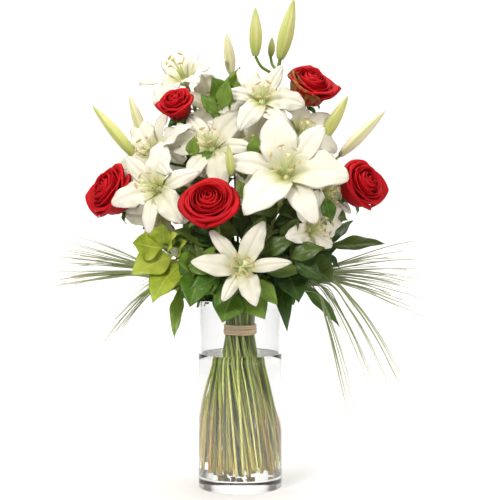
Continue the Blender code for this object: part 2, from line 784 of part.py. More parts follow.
def stem_routes():
    """Each stem's radius and its way out of the tie, in the order that they are bound."""
    routes = {}
    for head in list(LILIES.values()) + list(BUDS.values()):
        if head.share == 1:
            base, axis = head_place(head)
            routes[head.stem] = Route(LILY_STEM, base - axis * GAP, axis, 0.09, 0.05)
    for name, rose in ROSES.items():
        axis = Vector(rose.axis).normalized()
        stem = name.replace("rose", "rose_stem")
        routes[stem] = Route(ROSE_STEM, rose_base(rose) - axis * GAP, axis, 0.09, 0.05)
    for name, sprig in SPRIGS.items():
        direction = Vector(sprig.direction).normalized()
        routes[name] = Route(SPRIG_STEM, Vector(sprig.end), direction, sprig.lift, 0.03)
    for name, grass in GRASSES.items():
        direction = Vector(grass.direction).normalized()
        routes[name] = Route(GRASS_SHEATH, Vector(grass.end), direction, 0.06, 0.02)
    return routes


def taper(route, path):
    """A stem's radii from its foot to its top, a quarter thinner at the top."""
    last = len(path) - 1
    return [route.radius * (1 - TOP_TAPER * k / last) for k in range(len(path))]


def build_vase(routes, places, paths):
    """The vase, its water round the stems, and the tie above them."""
    glass = finish("clear_glass", (0.93, 0.95, 0.94), 0.03, transmission=1.0)
    water = finish("water", (0.90, 0.95, 0.94), 0.02, transmission=1.0)
    raffia = finish("raffia", (0.55, 0.40, 0.22), 0.75)
    make_vase(glass)
    make_water([(routes[name].radius, path) for name, path in paths.items()], water)
    make_tie(max(places[name].length + route.radius for name, route in routes.items()), raffia)


def build_flowers():
    """Lilies with their pistils, lily buds and roses."""
    white = finish("lily_white", (0.92, 0.90, 0.84), 0.45)
    style = finish("lily_style", (0.55, 0.60, 0.30), 0.45)
    bud_green = finish("lily_bud", (0.58, 0.60, 0.26), 0.45)
    red = finish("rose_red", (0.42, 0.012, 0.018), 0.5)
    for name, lily in LILIES.items():
        make_lily(name, lily, white)
        make_pistil(name + "_pistil", lily, style)
    for name, bud in BUDS.items():
        make_bud(name, bud, bud_green)
    for name, rose in ROSES.items():
        make_rose(name, rose, red)


def build_greenery(routes, paths):
    """Lily stems, rose stems, leafy sprigs and bear grass."""
    stem_green = finish("stem_green", (0.20, 0.28, 0.06), 0.5)
    grass_green = finish("grass_green", (0.22, 0.27, 0.10), 0.5)
    shades = {
        "light": finish("leaf_light", (0.28, 0.36, 0.05), 0.45),
        "mid": finish("leaf_mid", (0.08, 0.17, 0.02), 0.4),
        "dark": finish("leaf_dark", (0.04, 0.09, 0.015), 0.4),
    }
    radii = {name: taper(route, paths[name]) for name, route in routes.items()}
    for name, leaves in LILY_LEAVES.items():
        axis = routes[name].direction
        make_plant(name, paths[name], radii[name], axis, stalks_of(name), leaves, stem_green)
    for rose_name, rose in ROSES.items():
        name = rose_name.replace("rose", "rose_stem")
        cupped = radii[name][:-1] + [ROSE_CUP]
        make_plant(name, paths[name], cupped, routes[name].direction, (), rose.leaves, stem_green)
    for name, sprig in SPRIGS.items():
        make_plant(name, paths[name], radii[name], None, (), sprig.leaves, shades[sprig.shade])
    for name, grass in GRASSES.items():
        make_grass(name, paths[name], radii[name], grass, grass_green)


def build():
    clear_scene()
    routes = stem_routes()
    places = pack_stems(routes)
    paths = {}
    for index, (name, route) in enumerate(routes.items()):
        foot = FLOOR + FOOT_CLEARANCE + FOOT_STEP * (index * 5 % 7)
        paths[name] = whole_stem(places[name], foot, route)
    build_vase(routes, places, paths)
    build_flowers()
    build_greenery(routes, paths)


build()
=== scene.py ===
# %% [markdown]
# # Lilies and roses in a glass vase
# A hand-tied bouquet: big white lilies, lily buds, red roses, mixed leaves and long fine grass.
# The stems cross in a spiral, a raffia tie holds them, and a straight glass vase holds the water.
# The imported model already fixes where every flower, leaf tip and stem goes. So this lesson reads
# those places from the model's own meshes and dresses each one in finer geometry and materials.

# %% Load the frame
import json
import math
import random

import bmesh
import bpy
from mathutils import Matrix, Vector, noise


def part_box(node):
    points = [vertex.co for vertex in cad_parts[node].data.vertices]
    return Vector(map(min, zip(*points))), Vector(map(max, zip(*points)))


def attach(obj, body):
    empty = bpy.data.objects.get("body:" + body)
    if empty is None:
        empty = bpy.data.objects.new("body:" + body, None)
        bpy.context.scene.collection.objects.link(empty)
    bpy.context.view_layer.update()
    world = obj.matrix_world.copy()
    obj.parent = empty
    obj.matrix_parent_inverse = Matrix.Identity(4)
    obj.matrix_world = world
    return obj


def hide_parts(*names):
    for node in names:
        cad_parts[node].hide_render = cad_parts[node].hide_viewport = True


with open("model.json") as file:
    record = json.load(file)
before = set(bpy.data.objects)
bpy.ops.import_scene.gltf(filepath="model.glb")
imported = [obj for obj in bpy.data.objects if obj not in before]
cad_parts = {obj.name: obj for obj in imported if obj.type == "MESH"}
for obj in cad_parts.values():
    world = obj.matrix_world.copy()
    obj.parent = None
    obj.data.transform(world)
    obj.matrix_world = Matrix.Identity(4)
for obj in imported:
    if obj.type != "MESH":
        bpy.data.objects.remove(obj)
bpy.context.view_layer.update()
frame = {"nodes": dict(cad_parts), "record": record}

UP = Vector((0, 0, 1))
BODY = "root"
node_names = sorted(frame["nodes"])

# %% [markdown]
# ## Reading limbs from a mesh
# A plant in the model is one solid: a six-sided stem with stalks and leaves joined on. Its shape
# could be described a second time with a list of numbers, but then two lists have to agree.
# Reading is safer. Each stem, leaf and blade was made from rings with a fixed number of corners,
# so from a tip or a cut end one can walk the mesh ring by ring, like peeling a leek, until the
# number of corners changes where the limb joins its neighbour.

# %% Walk rings from an end
def welded(node):
    """An editable copy of a node's mesh with its split corners joined again."""
    builder = bmesh.new()
    builder.from_mesh(frame["nodes"][node].data)
    bmesh.ops.remove_doubles(builder, verts=builder.verts, dist=2e-5)
    return builder


def middle(points):
    """The mean of some places or corners."""
    points = [getattr(point, "co", point) for point in points]
    return sum(points, Vector()) / len(points)


def in_order(corners):
    """Corners by their place. A set has no fixed order, and sums in another order round differently."""
    return sorted(corners, key=lambda corner: tuple(corner.co))


def peel(start, sides):
    """Rings from an end inwards, for as long as each one has the same number of corners."""
    rings, seen, ring = [], set(start), set(start)
    while True:
        ring = {edge.other_vert(corner) for corner in ring for edge in corner.link_edges} - seen
        if len(ring) != sides:
            return rings
        rings.append(in_order(ring))
        seen |= ring


test = welded("bear_grass_left")
print("bear_grass_left has", len(test.verts), "corners once welded")
test.free()

# %% Find cut ends
FLAT = 0.02  # radians between two faces that still count as one plane
SHARP = math.radians(50)


def flat_patch(face):
    """The faces that lie flat against this one."""
    patch, waiting = {face}, [face]
    while waiting:
        here = waiting.pop()
        for edge in here.edges:
            for other in edge.link_faces:
                if other not in patch and other.normal.angle(here.normal, 0) < FLAT:
                    patch.add(other)
                    waiting.append(other)
    return patch


def cut_ends(builder):
    """Flat five- or six-cornered ends with a sharp edge all round, as lists of corners."""
    seen, ends = set(), []
    for face in builder.faces:
        if face in seen:
            continue
        patch = flat_patch(face)
        seen |= patch
        corners = {corner for part in patch for corner in part.verts}
        border = [e for part in patch for e in part.edges if len(patch & set(e.link_faces)) == 1]
        sharp = all(edge.calc_face_angle_signed(0) > SHARP for edge in border)
        if sharp and len(corners) in (5, 6) and len(border) == len(corners):
            ends.append(in_order(corners))
    return ends


test = welded("lily_stem_front")
print("lily_stem_front has", len(cut_ends(test)), "cut ends, its foot among them")
test.free()

# %% Find leaf tips and blade tips
LEAF_GAUGE = (0.0009, 0.0015)  # thinnest and thickest a leaf is just behind its tip, in metres
LEAF_SPAN = 0.005  # and it is wider than this there


def is_leaf_tip(corner):
    """A leaf ends in one corner whose four neighbours are two edges, a top and an underside."""
    if len(corner.link_edges) != 4:
        return False
    ring = [edge.other_vert(corner).co for edge in corner.link_edges]
    spans = sorted((a - b).length for k, a in enumerate(ring) for b in ring[:k])
    thin = LEAF_GAUGE[0] < spans[0] < LEAF_GAUGE[1] and spans[-1] > LEAF_SPAN
    return thin and len(peel([corner], 4)) >= 2


def is_blade_tip(corner):
    """A blade is a three-sided spike, at least three rings long."""
    return len(corner.link_edges) == 3 and len(peel([corner], 3)) >= 3


test = welded("sprig_front")
test_tips = [corner for corner in test.verts if is_leaf_tip(corner)]
print("sprig_front has", len(test_tips), "leaf tips")

# %% Measure one leaf ring
def leaf_ring(ring):
    """(middle, width, upward normal) of a four-cornered leaf ring. Its edges rise a little."""
    corners = [corner.co for corner in ring]
    pairs = [(a, b) for k, a in enumerate(corners) for b in corners[:k]]
    edges = max(pairs, key=lambda pair: (pair[0] - pair[1]).length)
    faces = [corner for corner in corners if corner not in edges]
    spine = middle(faces)
    across = edges[0] - edges[1]
    normal = faces[0] - faces[1]
    if normal.dot(middle(edges) - spine) < 0:
        normal = -normal
    return spine, across.length, normal.normalized()


widths = [leaf_ring(ring)[1] for ring in peel([test_tips[0]], 4)[:3]]
print("one leaf is", [round(width * 1000, 1) for width in widths], "mm wide behind its tip")
test.free()

# %% Read a whole plant
def read_plant(node):
    """The stem from its foot, the other cut ends, the leaves and the blades of one plant."""
    builder = welded(node)
    ends = []
    for corners in cut_ends(builder):
        path = [middle(corners)] + [middle(ring) for ring in peel(corners, len(corners))]
        girth = (corners[0].co - path[0]).length
        ends.append((len(corners), path, girth))
    ends.sort(key=lambda end: end[1][0].z)
    leaves = []
    for corner in builder.verts:
        if is_leaf_tip(corner):
            rings = [leaf_ring(ring) for ring in peel([corner], 4)][:3]
            leaves.append((corner.co.copy(), rings))
    blades = []
    for corner in builder.verts:
        if is_blade_tip(corner):
            rings = [middle(ring) for ring in peel([corner], 3)][:4]
            blades.append([corner.co.copy()] + rings)
    builder.free()
    foot = ends[0]
    return {"foot": foot[1], "girth": foot[2], "ends": ends[1:], "leaves": leaves, "blades": blades}


plant_names = [n for n in node_names if n.startswith(("lily_stem", "rose_stem", "sprig", "bear"))]
plants = {name: read_plant(name) for name in plant_names}
for name, plant in plants.items():
    print(name, len(plant["foot"]), "stem rings,", len(plant["ends"]), "other ends,",
          len(plant["leaves"]), "leaves,", len(plant["blades"]), "blades")

# %% [markdown]
# ## Smooth lines
# The rings give a few places along each limb. A curve through them must pass every place and bend
# evenly in between. Blender's own curves could do it, but a Catmull-Rom spline in a few lines of
# code lets us sample positions, directions and widths at any share of the length.

# %% A smooth line through places
class Line:
    """A smooth line through places, sampled by its share of the length."""

    def __init__(self, places):
        self.places = [place.copy() for place in places]
        self.marks = [0.0]
        for before, after in zip(places, places[1:]):
            self.marks.append(self.marks[-1] + (after - before).length)
        self.length = self.marks[-1]

    def span(self, share):
        """Which stretch a share falls in, and how far along that stretch it is."""
        mark = min(max(share, 0.0), 1.0) * self.length
        k = 0
        while k < len(self.places) - 2 and self.marks[k + 1] < mark:
            k += 1
        return k, (mark - self.marks[k]) / max(self.marks[k + 1] - self.marks[k], 1e-9)

    def slope(self, k):
        """The direction at place k, from its neighbours, per metre of line."""
        low, high = max(k - 1, 0), min(k + 1, len(self.places) - 1)
        return (self.places[high] - self.places[low]) / (self.marks[high] - self.marks[low])

    def point(self, share):
        """The place at a share of the length, on a cubic between its two neighbours."""
        k, t = self.span(share)
        gap = self.marks[k + 1] - self.marks[k]
        start, end = self.places[k], self.places[k + 1]
        leave, reach = self.slope(k) * gap, self.slope(k + 1) * gap
        return ((2 * t**3 - 3 * t**2 + 1) * start + (t**3 - 2 * t**2 + t) * leave
                + (3 * t**2 - 2 * t**3) * end + (t**3 - t**2) * reach)

    def direction(self, share):
        """The way the line runs there, from a place just behind to one just ahead."""
        ahead, behind = self.point(min(share + 0.005, 1)), self.point(max(share - 0.005, 0))
        return (ahead - behind).normalized()

    def nearest(self, spot, steps=60):
        """The share of the line that lies nearest to a spot."""
        return min((k / steps for k in range(steps + 1)), key=lambda s: (self.point(s) - spot).length)

    def share_at(self, height, steps=80):
        """The share of the line that lies nearest to a height."""
        return min((k / steps for k in range(steps + 1)), key=lambda s: abs(self.point(s).z - height))


trial = Line([Vector((0, 0, 0)), Vector((1, 0, 1)), Vector((2, 0, 0))])
print("a trial line through 3 places is", round(trial.length, 3), "long, its middle at",
      tuple(round(c, 2) for c in trial.point(0.5)))

# %% [markdown]
# ## Two kinds of skin
# Everything botanical here is either a **sheet** (petal, leaf) or a **tube** (stem, style, blade).
# A sheet could be a single surface with a Solidify modifier, but a real petal is thickest at its
# middle and thins to nothing at the margin. So each sheet is made as a closed lens: an upper and a
# lower grid that share their outer edge. One mesh collects all the sheets and tubes of a piece,
# and every corner stores where it sits (across, along) in a UV map, plus a tone of its own that
# the materials use to make no two petals exactly alike. The collector grows over four cells, each
# class adding one skill to the one before.

# %% Collect corners
class Corners:
    """Corners with their (across, along) place and their tone, and the faces between them."""

    def __init__(self):
        self.points, self.faces, self.places, self.tones = [], [], [], []

    def corner(self, point, place, tone):
        self.points.append(point)
        self.places.append(place)
        self.tones.append(tone)
        return len(self.points) - 1


def skills(kind):
    """The helpers that a class adds."""
    return [name for name in vars(kind) if not name.startswith("_")]


print("Corners adds", skills(Corners))

# %% Add closed sheets
class Sheets(Corners):
    """Adds petals and leaves."""

    def sheet(self, surface, across, along, thickness, tone=0.5):
        """A closed lens round surface(u, v), u from -1 to 1 across and v from 0 to 1 along."""
        grid = [[surface(2 * j / across - 1, i / along) for j in range(across + 1)]
                for i in range(along + 1)]
        upper, lower = [], []
        for i in range(along + 1):
            high, low = [], []
            for j in range(across + 1):
                side = grid[i][min(j + 1, across)] - grid[i][max(j - 1, 0)]
                onward = grid[min(i + 1, along)][j] - grid[max(i - 1, 0)][j]
                normal = side.cross(onward).normalized()
                place = (j / across, i / along)
                rim = i in (0, along) or j in (0, across)
                lift = normal * (0 if rim else thickness / 2)
                top = self.corner(grid[i][j] + lift, place, tone)
                high.append(top)
                low.append(top if rim else self.corner(grid[i][j] - lift, place, tone))
            upper.append(high)
            lower.append(low)
        for i in range(along):
            for j in range(across):
                for side, order in ((upper, 1), (lower, -1)):
                    quad = (side[i][j], side[i][j + 1], side[i + 1][j + 1], side[i + 1][j])
                    self.faces.append(quad[::order])


test = Sheets()
test.sheet(lambda u, v: Vector((u, v, 0)), 4, 6, 0.1)
print("a sheet 4 by 6 has", len(test.points), "corners and", len(test.faces), "faces, both sides together")

# %% Add closed tubes
class Tubes(Sheets):
    """Adds stems, stalks, styles and blades."""

    def tube(self, line, radius, sides, steps, tone=0.5, squeeze=None, first_side=None):
        """A closed tube along a line. radius(share) is its radius, squeeze(angle, share) its shape."""
        side = first_side or Vector((1, 0.2, 0.1))
        rings = []
        for i in range(steps + 1):
            share = i / steps
            point, direction = line.point(share), line.direction(share)
            side = (side - side.dot(direction) * direction).normalized()
            across = direction.cross(side)
            ring = []
            for k in range(sides):
                angle = math.tau * k / sides
                reach = radius(share) * (squeeze(angle, share) if squeeze else 1)
                offset = (math.cos(angle) * side + math.sin(angle) * across) * reach
                ring.append(self.corner(point + offset, (k / sides, share), tone))
            rings.append(ring)
        for low, high in zip(rings, rings[1:]):
            for k in range(sides):
                n = (k + 1) % sides
                self.faces.append((low[k], low[n], high[n], high[k]))
        self.faces.append(tuple(reversed(rings[0])))
        self.faces.append(tuple(rings[-1]))


test = Tubes()
test.tube(trial, lambda share: 0.1, 6, 10)
print("a tube with 6 sides and 10 steps has", len(test.faces), "faces")

# %% Add turned bodies, and make the object
def add_object(name, data):
    """A new object in the scene round a mesh, a camera or a lamp."""
    made = bpy.data.objects.new(name, data)
    bpy.context.scene.collection.objects.link(made)
    return made


class Skin(Tubes):
    """Adds turned bodies, and turns all it has collected into one mesh object."""

    def turned(self, profile, sides, tone=0.5):
        """A body turned round Z from (radius, height) places that start and end on the axis."""
        loops = []
        for radius, height in profile:
            if radius == 0:
                loops.append([self.corner(Vector((0, 0, height)), (0, 0), tone)])
                continue
            loop = []
            for k in range(sides):
                angle = math.tau * k / sides
                place = Vector((radius * math.cos(angle), radius * math.sin(angle), height))
                loop.append(self.corner(place, (k / sides, height), tone))
            loops.append(loop)
        for low, high in zip(loops, loops[1:]):
            for k in range(sides):
                n = (k + 1) % sides
                ring = [low[k % len(low)], low[n % len(low)],
                        high[n % len(high)], high[k % len(high)]]
                self.faces.append(tuple(dict.fromkeys(ring)))

    def piece(self, name, material):
        """The finished object, smooth, with its UV map and its tones."""
        mesh = bpy.data.meshes.new(name)
        mesh.from_pydata(self.points, [], self.faces)
        layer = mesh.uv_layers.new(name="Place")
        for loop in mesh.loops:
            layer.data[loop.index].uv = self.places[loop.vertex_index]
        tones = mesh.attributes.new("tone", "FLOAT", "POINT")
        tones.data.foreach_set("value", self.tones)
        builder = bmesh.new()
        builder.from_mesh(mesh)
        bmesh.ops.dissolve_degenerate(builder, dist=1e-6, edges=builder.edges)
        bmesh.ops.recalc_face_normals(builder, faces=builder.faces)
        builder.to_mesh(mesh)
        builder.free()
        mesh.shade_smooth()
        mesh.materials.append(material)
        return add_object(name, mesh)


print("Skin adds", skills(Skin))

# %% Settle a piece on its body
def settle(piece, slot, *nodes):
    """Puts the piece on the body it moves with and hides the nodes it stands for. The slot is not used."""
    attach(piece, BODY)
    if nodes:
        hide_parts(*nodes)
    print(piece.name, len(piece.data.polygons), "faces, for", ", ".join(nodes) or "no node")


print("every piece moves with", BODY)

# %% [markdown]
# ## Materials that know where they are
# Plants are never one flat colour. Each material is a Principled shader whose colour comes from
# procedural nodes: noise in metres for blotches, and the (across, along) place of a corner for
# what follows the growth of a petal or leaf, such as its midrib or its green base. An image
# texture could hold the same, but nodes stay sharp at any distance and need no files.

# %% Nodes
class Nodes:
    """A material under construction. Its helpers add nodes and return their output sockets."""

    def __init__(self, name, roughness, **constants):
        self.material = bpy.data.materials.new(name)
        self.material.use_nodes = True
        self.tree = self.material.node_tree
        self.shader = self.tree.nodes["Principled BSDF"]
        self.output = self.tree.nodes["Material Output"]
        self.shader.inputs["Roughness"].default_value = roughness
        for key, value in constants.items():
            self.shader.inputs[key.replace("_", " ")].default_value = value

    def node(self, kind, inputs=(), **settings):
        made = self.tree.nodes.new(kind)
        for key, value in settings.items():
            setattr(made, key, value)
        for key, value in dict(inputs).items():
            if isinstance(value, bpy.types.NodeSocket):
                self.tree.links.new(value, made.inputs[key])
            else:
                made.inputs[key].default_value = value
        return made

    def maths(self, operation, *values):
        return self.node("ShaderNodeMath", enumerate(values), operation=operation).outputs[0]

    def product(self, first, second):
        return self.maths("MULTIPLY", first, second)

    def off_middle(self, share):
        """How far a share from 0 to 1 is from one half."""
        return self.maths("ABSOLUTE", self.maths("SUBTRACT", share, 0.5))


print("Nodes adds", skills(Nodes))

# %% Where a point of the surface is
class Places(Nodes):
    """Adds the places and tones of a Skin, and positions in metres."""

    def place(self):
        """Sockets of the (across, along) place, each from 0 to 1."""
        uv = self.node("ShaderNodeUVMap", uv_map="Place").outputs[0]
        return tuple(self.node("ShaderNodeSeparateXYZ", {0: uv}).outputs)[:2]

    def where(self):
        """Sockets of the position in the object's own metres: X, Y and Z."""
        position = self.node("ShaderNodeTexCoord").outputs["Object"]
        return tuple(self.node("ShaderNodeSeparateXYZ", {0: position}).outputs)

    def tone(self):
        """The tone of the sheet or tube that the point belongs to."""
        return self.node("ShaderNodeAttribute", attribute_name="tone").outputs["Fac"]

    def metres(self, stretch=(1, 1, 1)):
        """The position in the object's own metres, stretched along X, Y and Z."""
        where = self.node("ShaderNodeTexCoord").outputs["Object"]
        return self.node("ShaderNodeMapping", {"Vector": where, "Scale": stretch}).outputs[0]

    def lengthwise(self, across, along):
        """A place stretched so that noise runs in fine lines along a petal or leaf."""
        u, v = self.place()
        return self.node("ShaderNodeCombineXYZ", {
            0: self.product(u, across), 1: self.product(v, along), 2: self.product(self.tone(), 9.0),
        }).outputs[0]


print("Places adds", skills(Places))

# %% Patterns and colours
class Patterns(Places):
    """Adds noise, ramps and mixes."""

    def noise(self, vector, scale, detail=3.0, roughness=0.55):
        return self.node("ShaderNodeTexNoise", {
            "Vector": vector, "Scale": scale, "Detail": detail, "Roughness": roughness,
        }).outputs["Fac"]

    def ramp(self, factor, stops):
        """A colour that changes with the factor. Stops are (position, (r, g, b))."""
        made = self.node("ShaderNodeValToRGB", {"Fac": factor})
        band = made.color_ramp
        band.elements[0].position, band.elements[1].position = stops[0][0], stops[-1][0]
        for position, _ in stops[1:-1]:
            band.elements.new(position)
        for element, (_, colour) in zip(band.elements, stops):
            element.color = (*colour, 1)
        return made.outputs["Color"]

    def mix(self, factor, first, second):
        """The first colour at factor 0 and the second at 1. Either can be (r, g, b) or a socket."""
        made = self.node("ShaderNodeMix", data_type="RGBA")
        for k, value in ((0, factor), (6, first), (7, second)):
            socket = made.inputs[k]
            if isinstance(value, bpy.types.NodeSocket):
                self.tree.links.new(value, socket)
            elif socket.type == "RGBA":
                socket.default_value = (*value, 1)
            else:
                socket.default_value = value
        return made.outputs[2]

    def spread(self, value, low, high, to_low=0.0, to_high=1.0):
        """Maps a value from one range to another and clamps it."""
        return self.node("ShaderNodeMapRange", {
            "Value": value, "From Min": low, "From Max": high, "To Min": to_low, "To Max": to_high,
        }).outputs[0]


print("Patterns adds", skills(Patterns))

# %% Finishes
class Recipe(Patterns):
    """Adds what makes the shader: relief, colour, roughness, light through a thin sheet."""

    def relief(self, height, strength, distance):
        """A bump of this depth in metres. Also returns the bent normal."""
        bump = self.node("ShaderNodeBump", {
            "Height": height, "Strength": strength, "Distance": distance,
        })
        self.tree.links.new(bump.outputs[0], self.shader.inputs["Normal"])
        return bump.outputs[0]

    def colour(self, socket):
        self.tree.links.new(socket, self.shader.inputs["Base Color"])

    def rough(self, socket):
        self.tree.links.new(socket, self.shader.inputs["Roughness"])

    def blend_shader(self, amount, other):
        """Puts another shader over the main one, by an amount from 0 to 1."""
        both = self.node("ShaderNodeMixShader", {
            0: amount, 1: self.shader.outputs[0], 2: other.outputs[0],
        })
        self.tree.links.new(both.outputs[0], self.output.inputs["Surface"])

    def glow_through(self, socket, amount, normal):
        """Lets light through a thin petal or leaf in the given colour."""
        self.blend_shader(amount, self.node("ShaderNodeBsdfTranslucent",
                                            {"Color": socket, "Normal": normal}))


print("Recipe adds", skills(Recipe))

# %% [markdown]
# ## Lily petals
# The big lilies are white, with a faint green midrib that grows out of a green-yellow throat, and
# fine cream lines along each petal. Each petal's tone moves it from white towards cream. The petals
# are thin enough for light to shine through, so a part of the shader is Translucent; subsurface
# scattering would do it too, but is meant for thick wax. A satin surface with a weak bump keeps
# them waxy, not chalky.

# %% Lily petal material
def lily_petal_material():
    recipe = Recipe("waxy_white_petal", 0.42, Specular_IOR_Level=0.35, Sheen_Weight=0.06)
    u, v = recipe.place()
    rib = recipe.spread(recipe.off_middle(u), 0.0, 0.085, 1.0, 0.0)
    throat = recipe.ramp(v, [
        (0.00, (0.26, 0.34, 0.03)), (0.09, (0.44, 0.49, 0.09)), (0.20, (0.72, 0.72, 0.38)),
        (0.36, (0.85, 0.83, 0.70)), (0.92, (0.90, 0.88, 0.82)), (1.00, (0.80, 0.80, 0.60)),
    ])
    fading = recipe.spread(v, 0.10, 0.70, 0.70, 0.0)
    ribbed = recipe.mix(recipe.product(rib, fading), throat, (0.62, 0.66, 0.36))
    blotch = recipe.spread(recipe.noise(recipe.metres(), 45.0), 0.3, 0.8, 0.0, 0.35)
    blushed = recipe.mix(blotch, ribbed, (0.80, 0.72, 0.64))
    creamy = recipe.mix(recipe.spread(recipe.tone(), 0.3, 1.0, 0.0, 0.35), blushed, (0.66, 0.65, 0.46))
    lines = recipe.noise(recipe.lengthwise(46, 2.2), 1.0, 2.0)
    warm = recipe.mix(recipe.spread(lines, 0.50, 0.68, 0.0, 0.22), creamy, (0.66, 0.68, 0.45))
    recipe.colour(warm)
    height = recipe.maths("ADD", lines, recipe.product(rib, -0.8))
    normal = recipe.relief(height, 0.35, 0.0006)
    recipe.glow_through(warm, 0.22, normal)
    return recipe.material


petal_white = lily_petal_material()
print(petal_white.name, len(petal_white.node_tree.nodes), "nodes")

# %% [markdown]
# ## Where each lily is
# A lily has an axis, a base on that axis, and six petals. In the model its style stands on the
# axis, so the line between the two ends of the style's mesh is the flower's axis. The six corners
# furthest from that axis are the petal tips, and the corners in line with a tip show how the
# petal opens: its distance from the axis against its height.

# %% Find the style
def style_of(flower):
    """The foot and the top of a flower's style. Its cut ends are the only flat ones."""
    builder = welded(flower + "_pistil")
    ends = []
    for corners in cut_ends(builder):
        centre = middle(corners)
        ends.append(((corners[0].co - centre).length, centre))
    builder.free()
    ends.sort(key=lambda end: end[0])
    return ends[0][1], ends[-1][1]


flowers = [n[:-len("_pistil")] for n in node_names if n.endswith("_pistil")]
print(len(flowers), "open lilies:", ", ".join(flowers))

# %% Measure a lily
ON_AXIS = 0.0008  # a corner nearer to the axis than this is the base
IN_LINE = 0.03  # radians from the first tip's direction
THROAT = 0.0030  # how far from the axis a petal starts


# A lily's six petals are equally long, so rounding would choose the first one, and each run could
# begin at another. This table says roughly where the first one points, and whether the petal opposite
# comes first (-1) or last (1) when they are counted round.
FIRST_PETAL = {
    "lily_back_left": ((1, 1, -1), 1),
    "lily_back_right": ((-1, 1, -1), -1),
    "lily_front": ((1, 0, 2), 1),
    "lily_left": ((2, -1, 1), -1),
    "lily_left_upper": ((2, 0, 0), -1),
    "lily_right_large": ((-1, -1, -1), 1),
    "lily_right_low": ((-1, -1, 1), -1),
    "lily_top": ((2, 0, 0), 1),
    "lily_upper_left": ((-1, -1, -1), 1),
}
OPPOSITE = math.pi - 0.2  # a petal turned further than this from the first is the one opposite


def measure_lily(flower):
    """Its base, axis, petal directions and how far a petal opens at each height."""
    foot, top = style_of(flower)
    axis = (top - foot).normalized()
    builder = welded(flower)
    corners = [corner.co.copy() for corner in builder.verts]
    builder.free()

    def out(spot):
        away = spot - foot
        return away - away.dot(axis) * axis

    base = min((c for c in corners if out(c).length < ON_AXIS), key=lambda c: (c - foot).dot(axis))
    tips = sorted(corners, key=lambda c: -out(c).length)[:6]
    pointing, opposite = FIRST_PETAL[flower]
    side = max((out(tip).normalized() for tip in tips), key=lambda way: way.dot(Vector(pointing)))
    forward = axis.cross(side)
    angles = [math.atan2(out(tip).dot(forward), out(tip).dot(side)) for tip in tips]
    angles = sorted(math.copysign(a, opposite) if abs(a) > OPPOSITE else a for a in angles)
    in_line = [c for c in corners if out(c).length > 0.001 and out(c).angle(side) < IN_LINE]
    in_line.sort(key=lambda c: out(c).length)
    tip = in_line.pop()
    opening = [(THROAT, 0.0)]
    for pair in zip(in_line[::2], in_line[1::2]):
        spot = middle(pair)
        opening.append((out(spot).length, (spot - base).dot(axis)))
    opening.append((out(tip).length, (tip - base).dot(axis)))
    return {"base": base, "axis": axis, "side": side, "angles": angles, "opening": opening,
            "style": (foot, top)}


lilies = {name: measure_lily(name) for name in flowers}
for name, lily in lilies.items():
    print(name, "opens", [(round(r * 1000), round(h * 1000)) for r, h in lily["opening"]])

# %% [markdown]
# ## Growing a petal
# A lily has two whorls: three broad inner petals with wavy margins and three narrower outer ones
# behind them. One could model a flat petal and bend it with modifiers. Here the petal is a function
# of (across, along) instead: it follows the measured opening line, wraps round the throat at its
# base, flattens as it opens, dips along its midrib, and ruffles and rolls back towards its tip.

# %% Petal outline
CLAW, WIDEST = 0.24, 0.48  # width where a petal starts, and the share of its length where it is 1


def petal_outline(v, fullness):
    """Half the width of a lily petal at a share of its length, 1 at its widest."""
    rise = CLAW + (1 - CLAW) * math.sin(min(v / WIDEST, 1.0) * math.pi / 2) ** fullness
    fall = max(1 - max((v - WIDEST) / (1 - WIDEST), 0.0) ** 1.8, 0.0)
    return rise * fall


print("outline of a petal, every fifth of its length:",
      [round(petal_outline(k / 5, 1.0), 2) for k in range(6)])

# %% Petal midline
ROLLED = 0.13  # how much longer the rolled tip makes a petal


def flower_point(lily, radius, height, angle):
    """A place given by its distance from a lily's axis, its height and its direction."""
    side, axis = lily["side"], lily["axis"]
    outward = math.cos(angle) * side + math.sin(angle) * axis.cross(side)
    return lily["base"] + outward * radius + axis * height


def petal_route(lily, tilt, recurve):
    """A petal's midline: the measured opening, tilted a little, then rolled back past its tip."""
    places = [Vector((radius, 0, height)) for radius, height in lily["opening"]]
    hinge = places[1]
    turn = Matrix.Rotation(tilt, 3, "Y")
    places = places[:2] + [hinge + turn @ (place - hinge) for place in places[2:]]
    way = (places[-1] - places[-2]).normalized()
    reach = ROLLED * Line(places).length
    for bend in (recurve, recurve * 2):
        places.append(places[-1] + Matrix.Rotation(bend, 3, "Y") @ way * reach * 0.5)
    return Line(places)


print("a petal of lily_front is", round(petal_route(lilies["lily_front"], 0, 0.8).length * 1000), "mm long")

# %% Petal surface
RUFFLE = {True: 0.0013, False: 0.0037}  # how far the margins wave, in outer and in inner petals
FULLNESS = {True: 1.1, False: 0.9}
SET_BACK = {True: 0.0014, False: 0.0}  # the outer petals lie behind


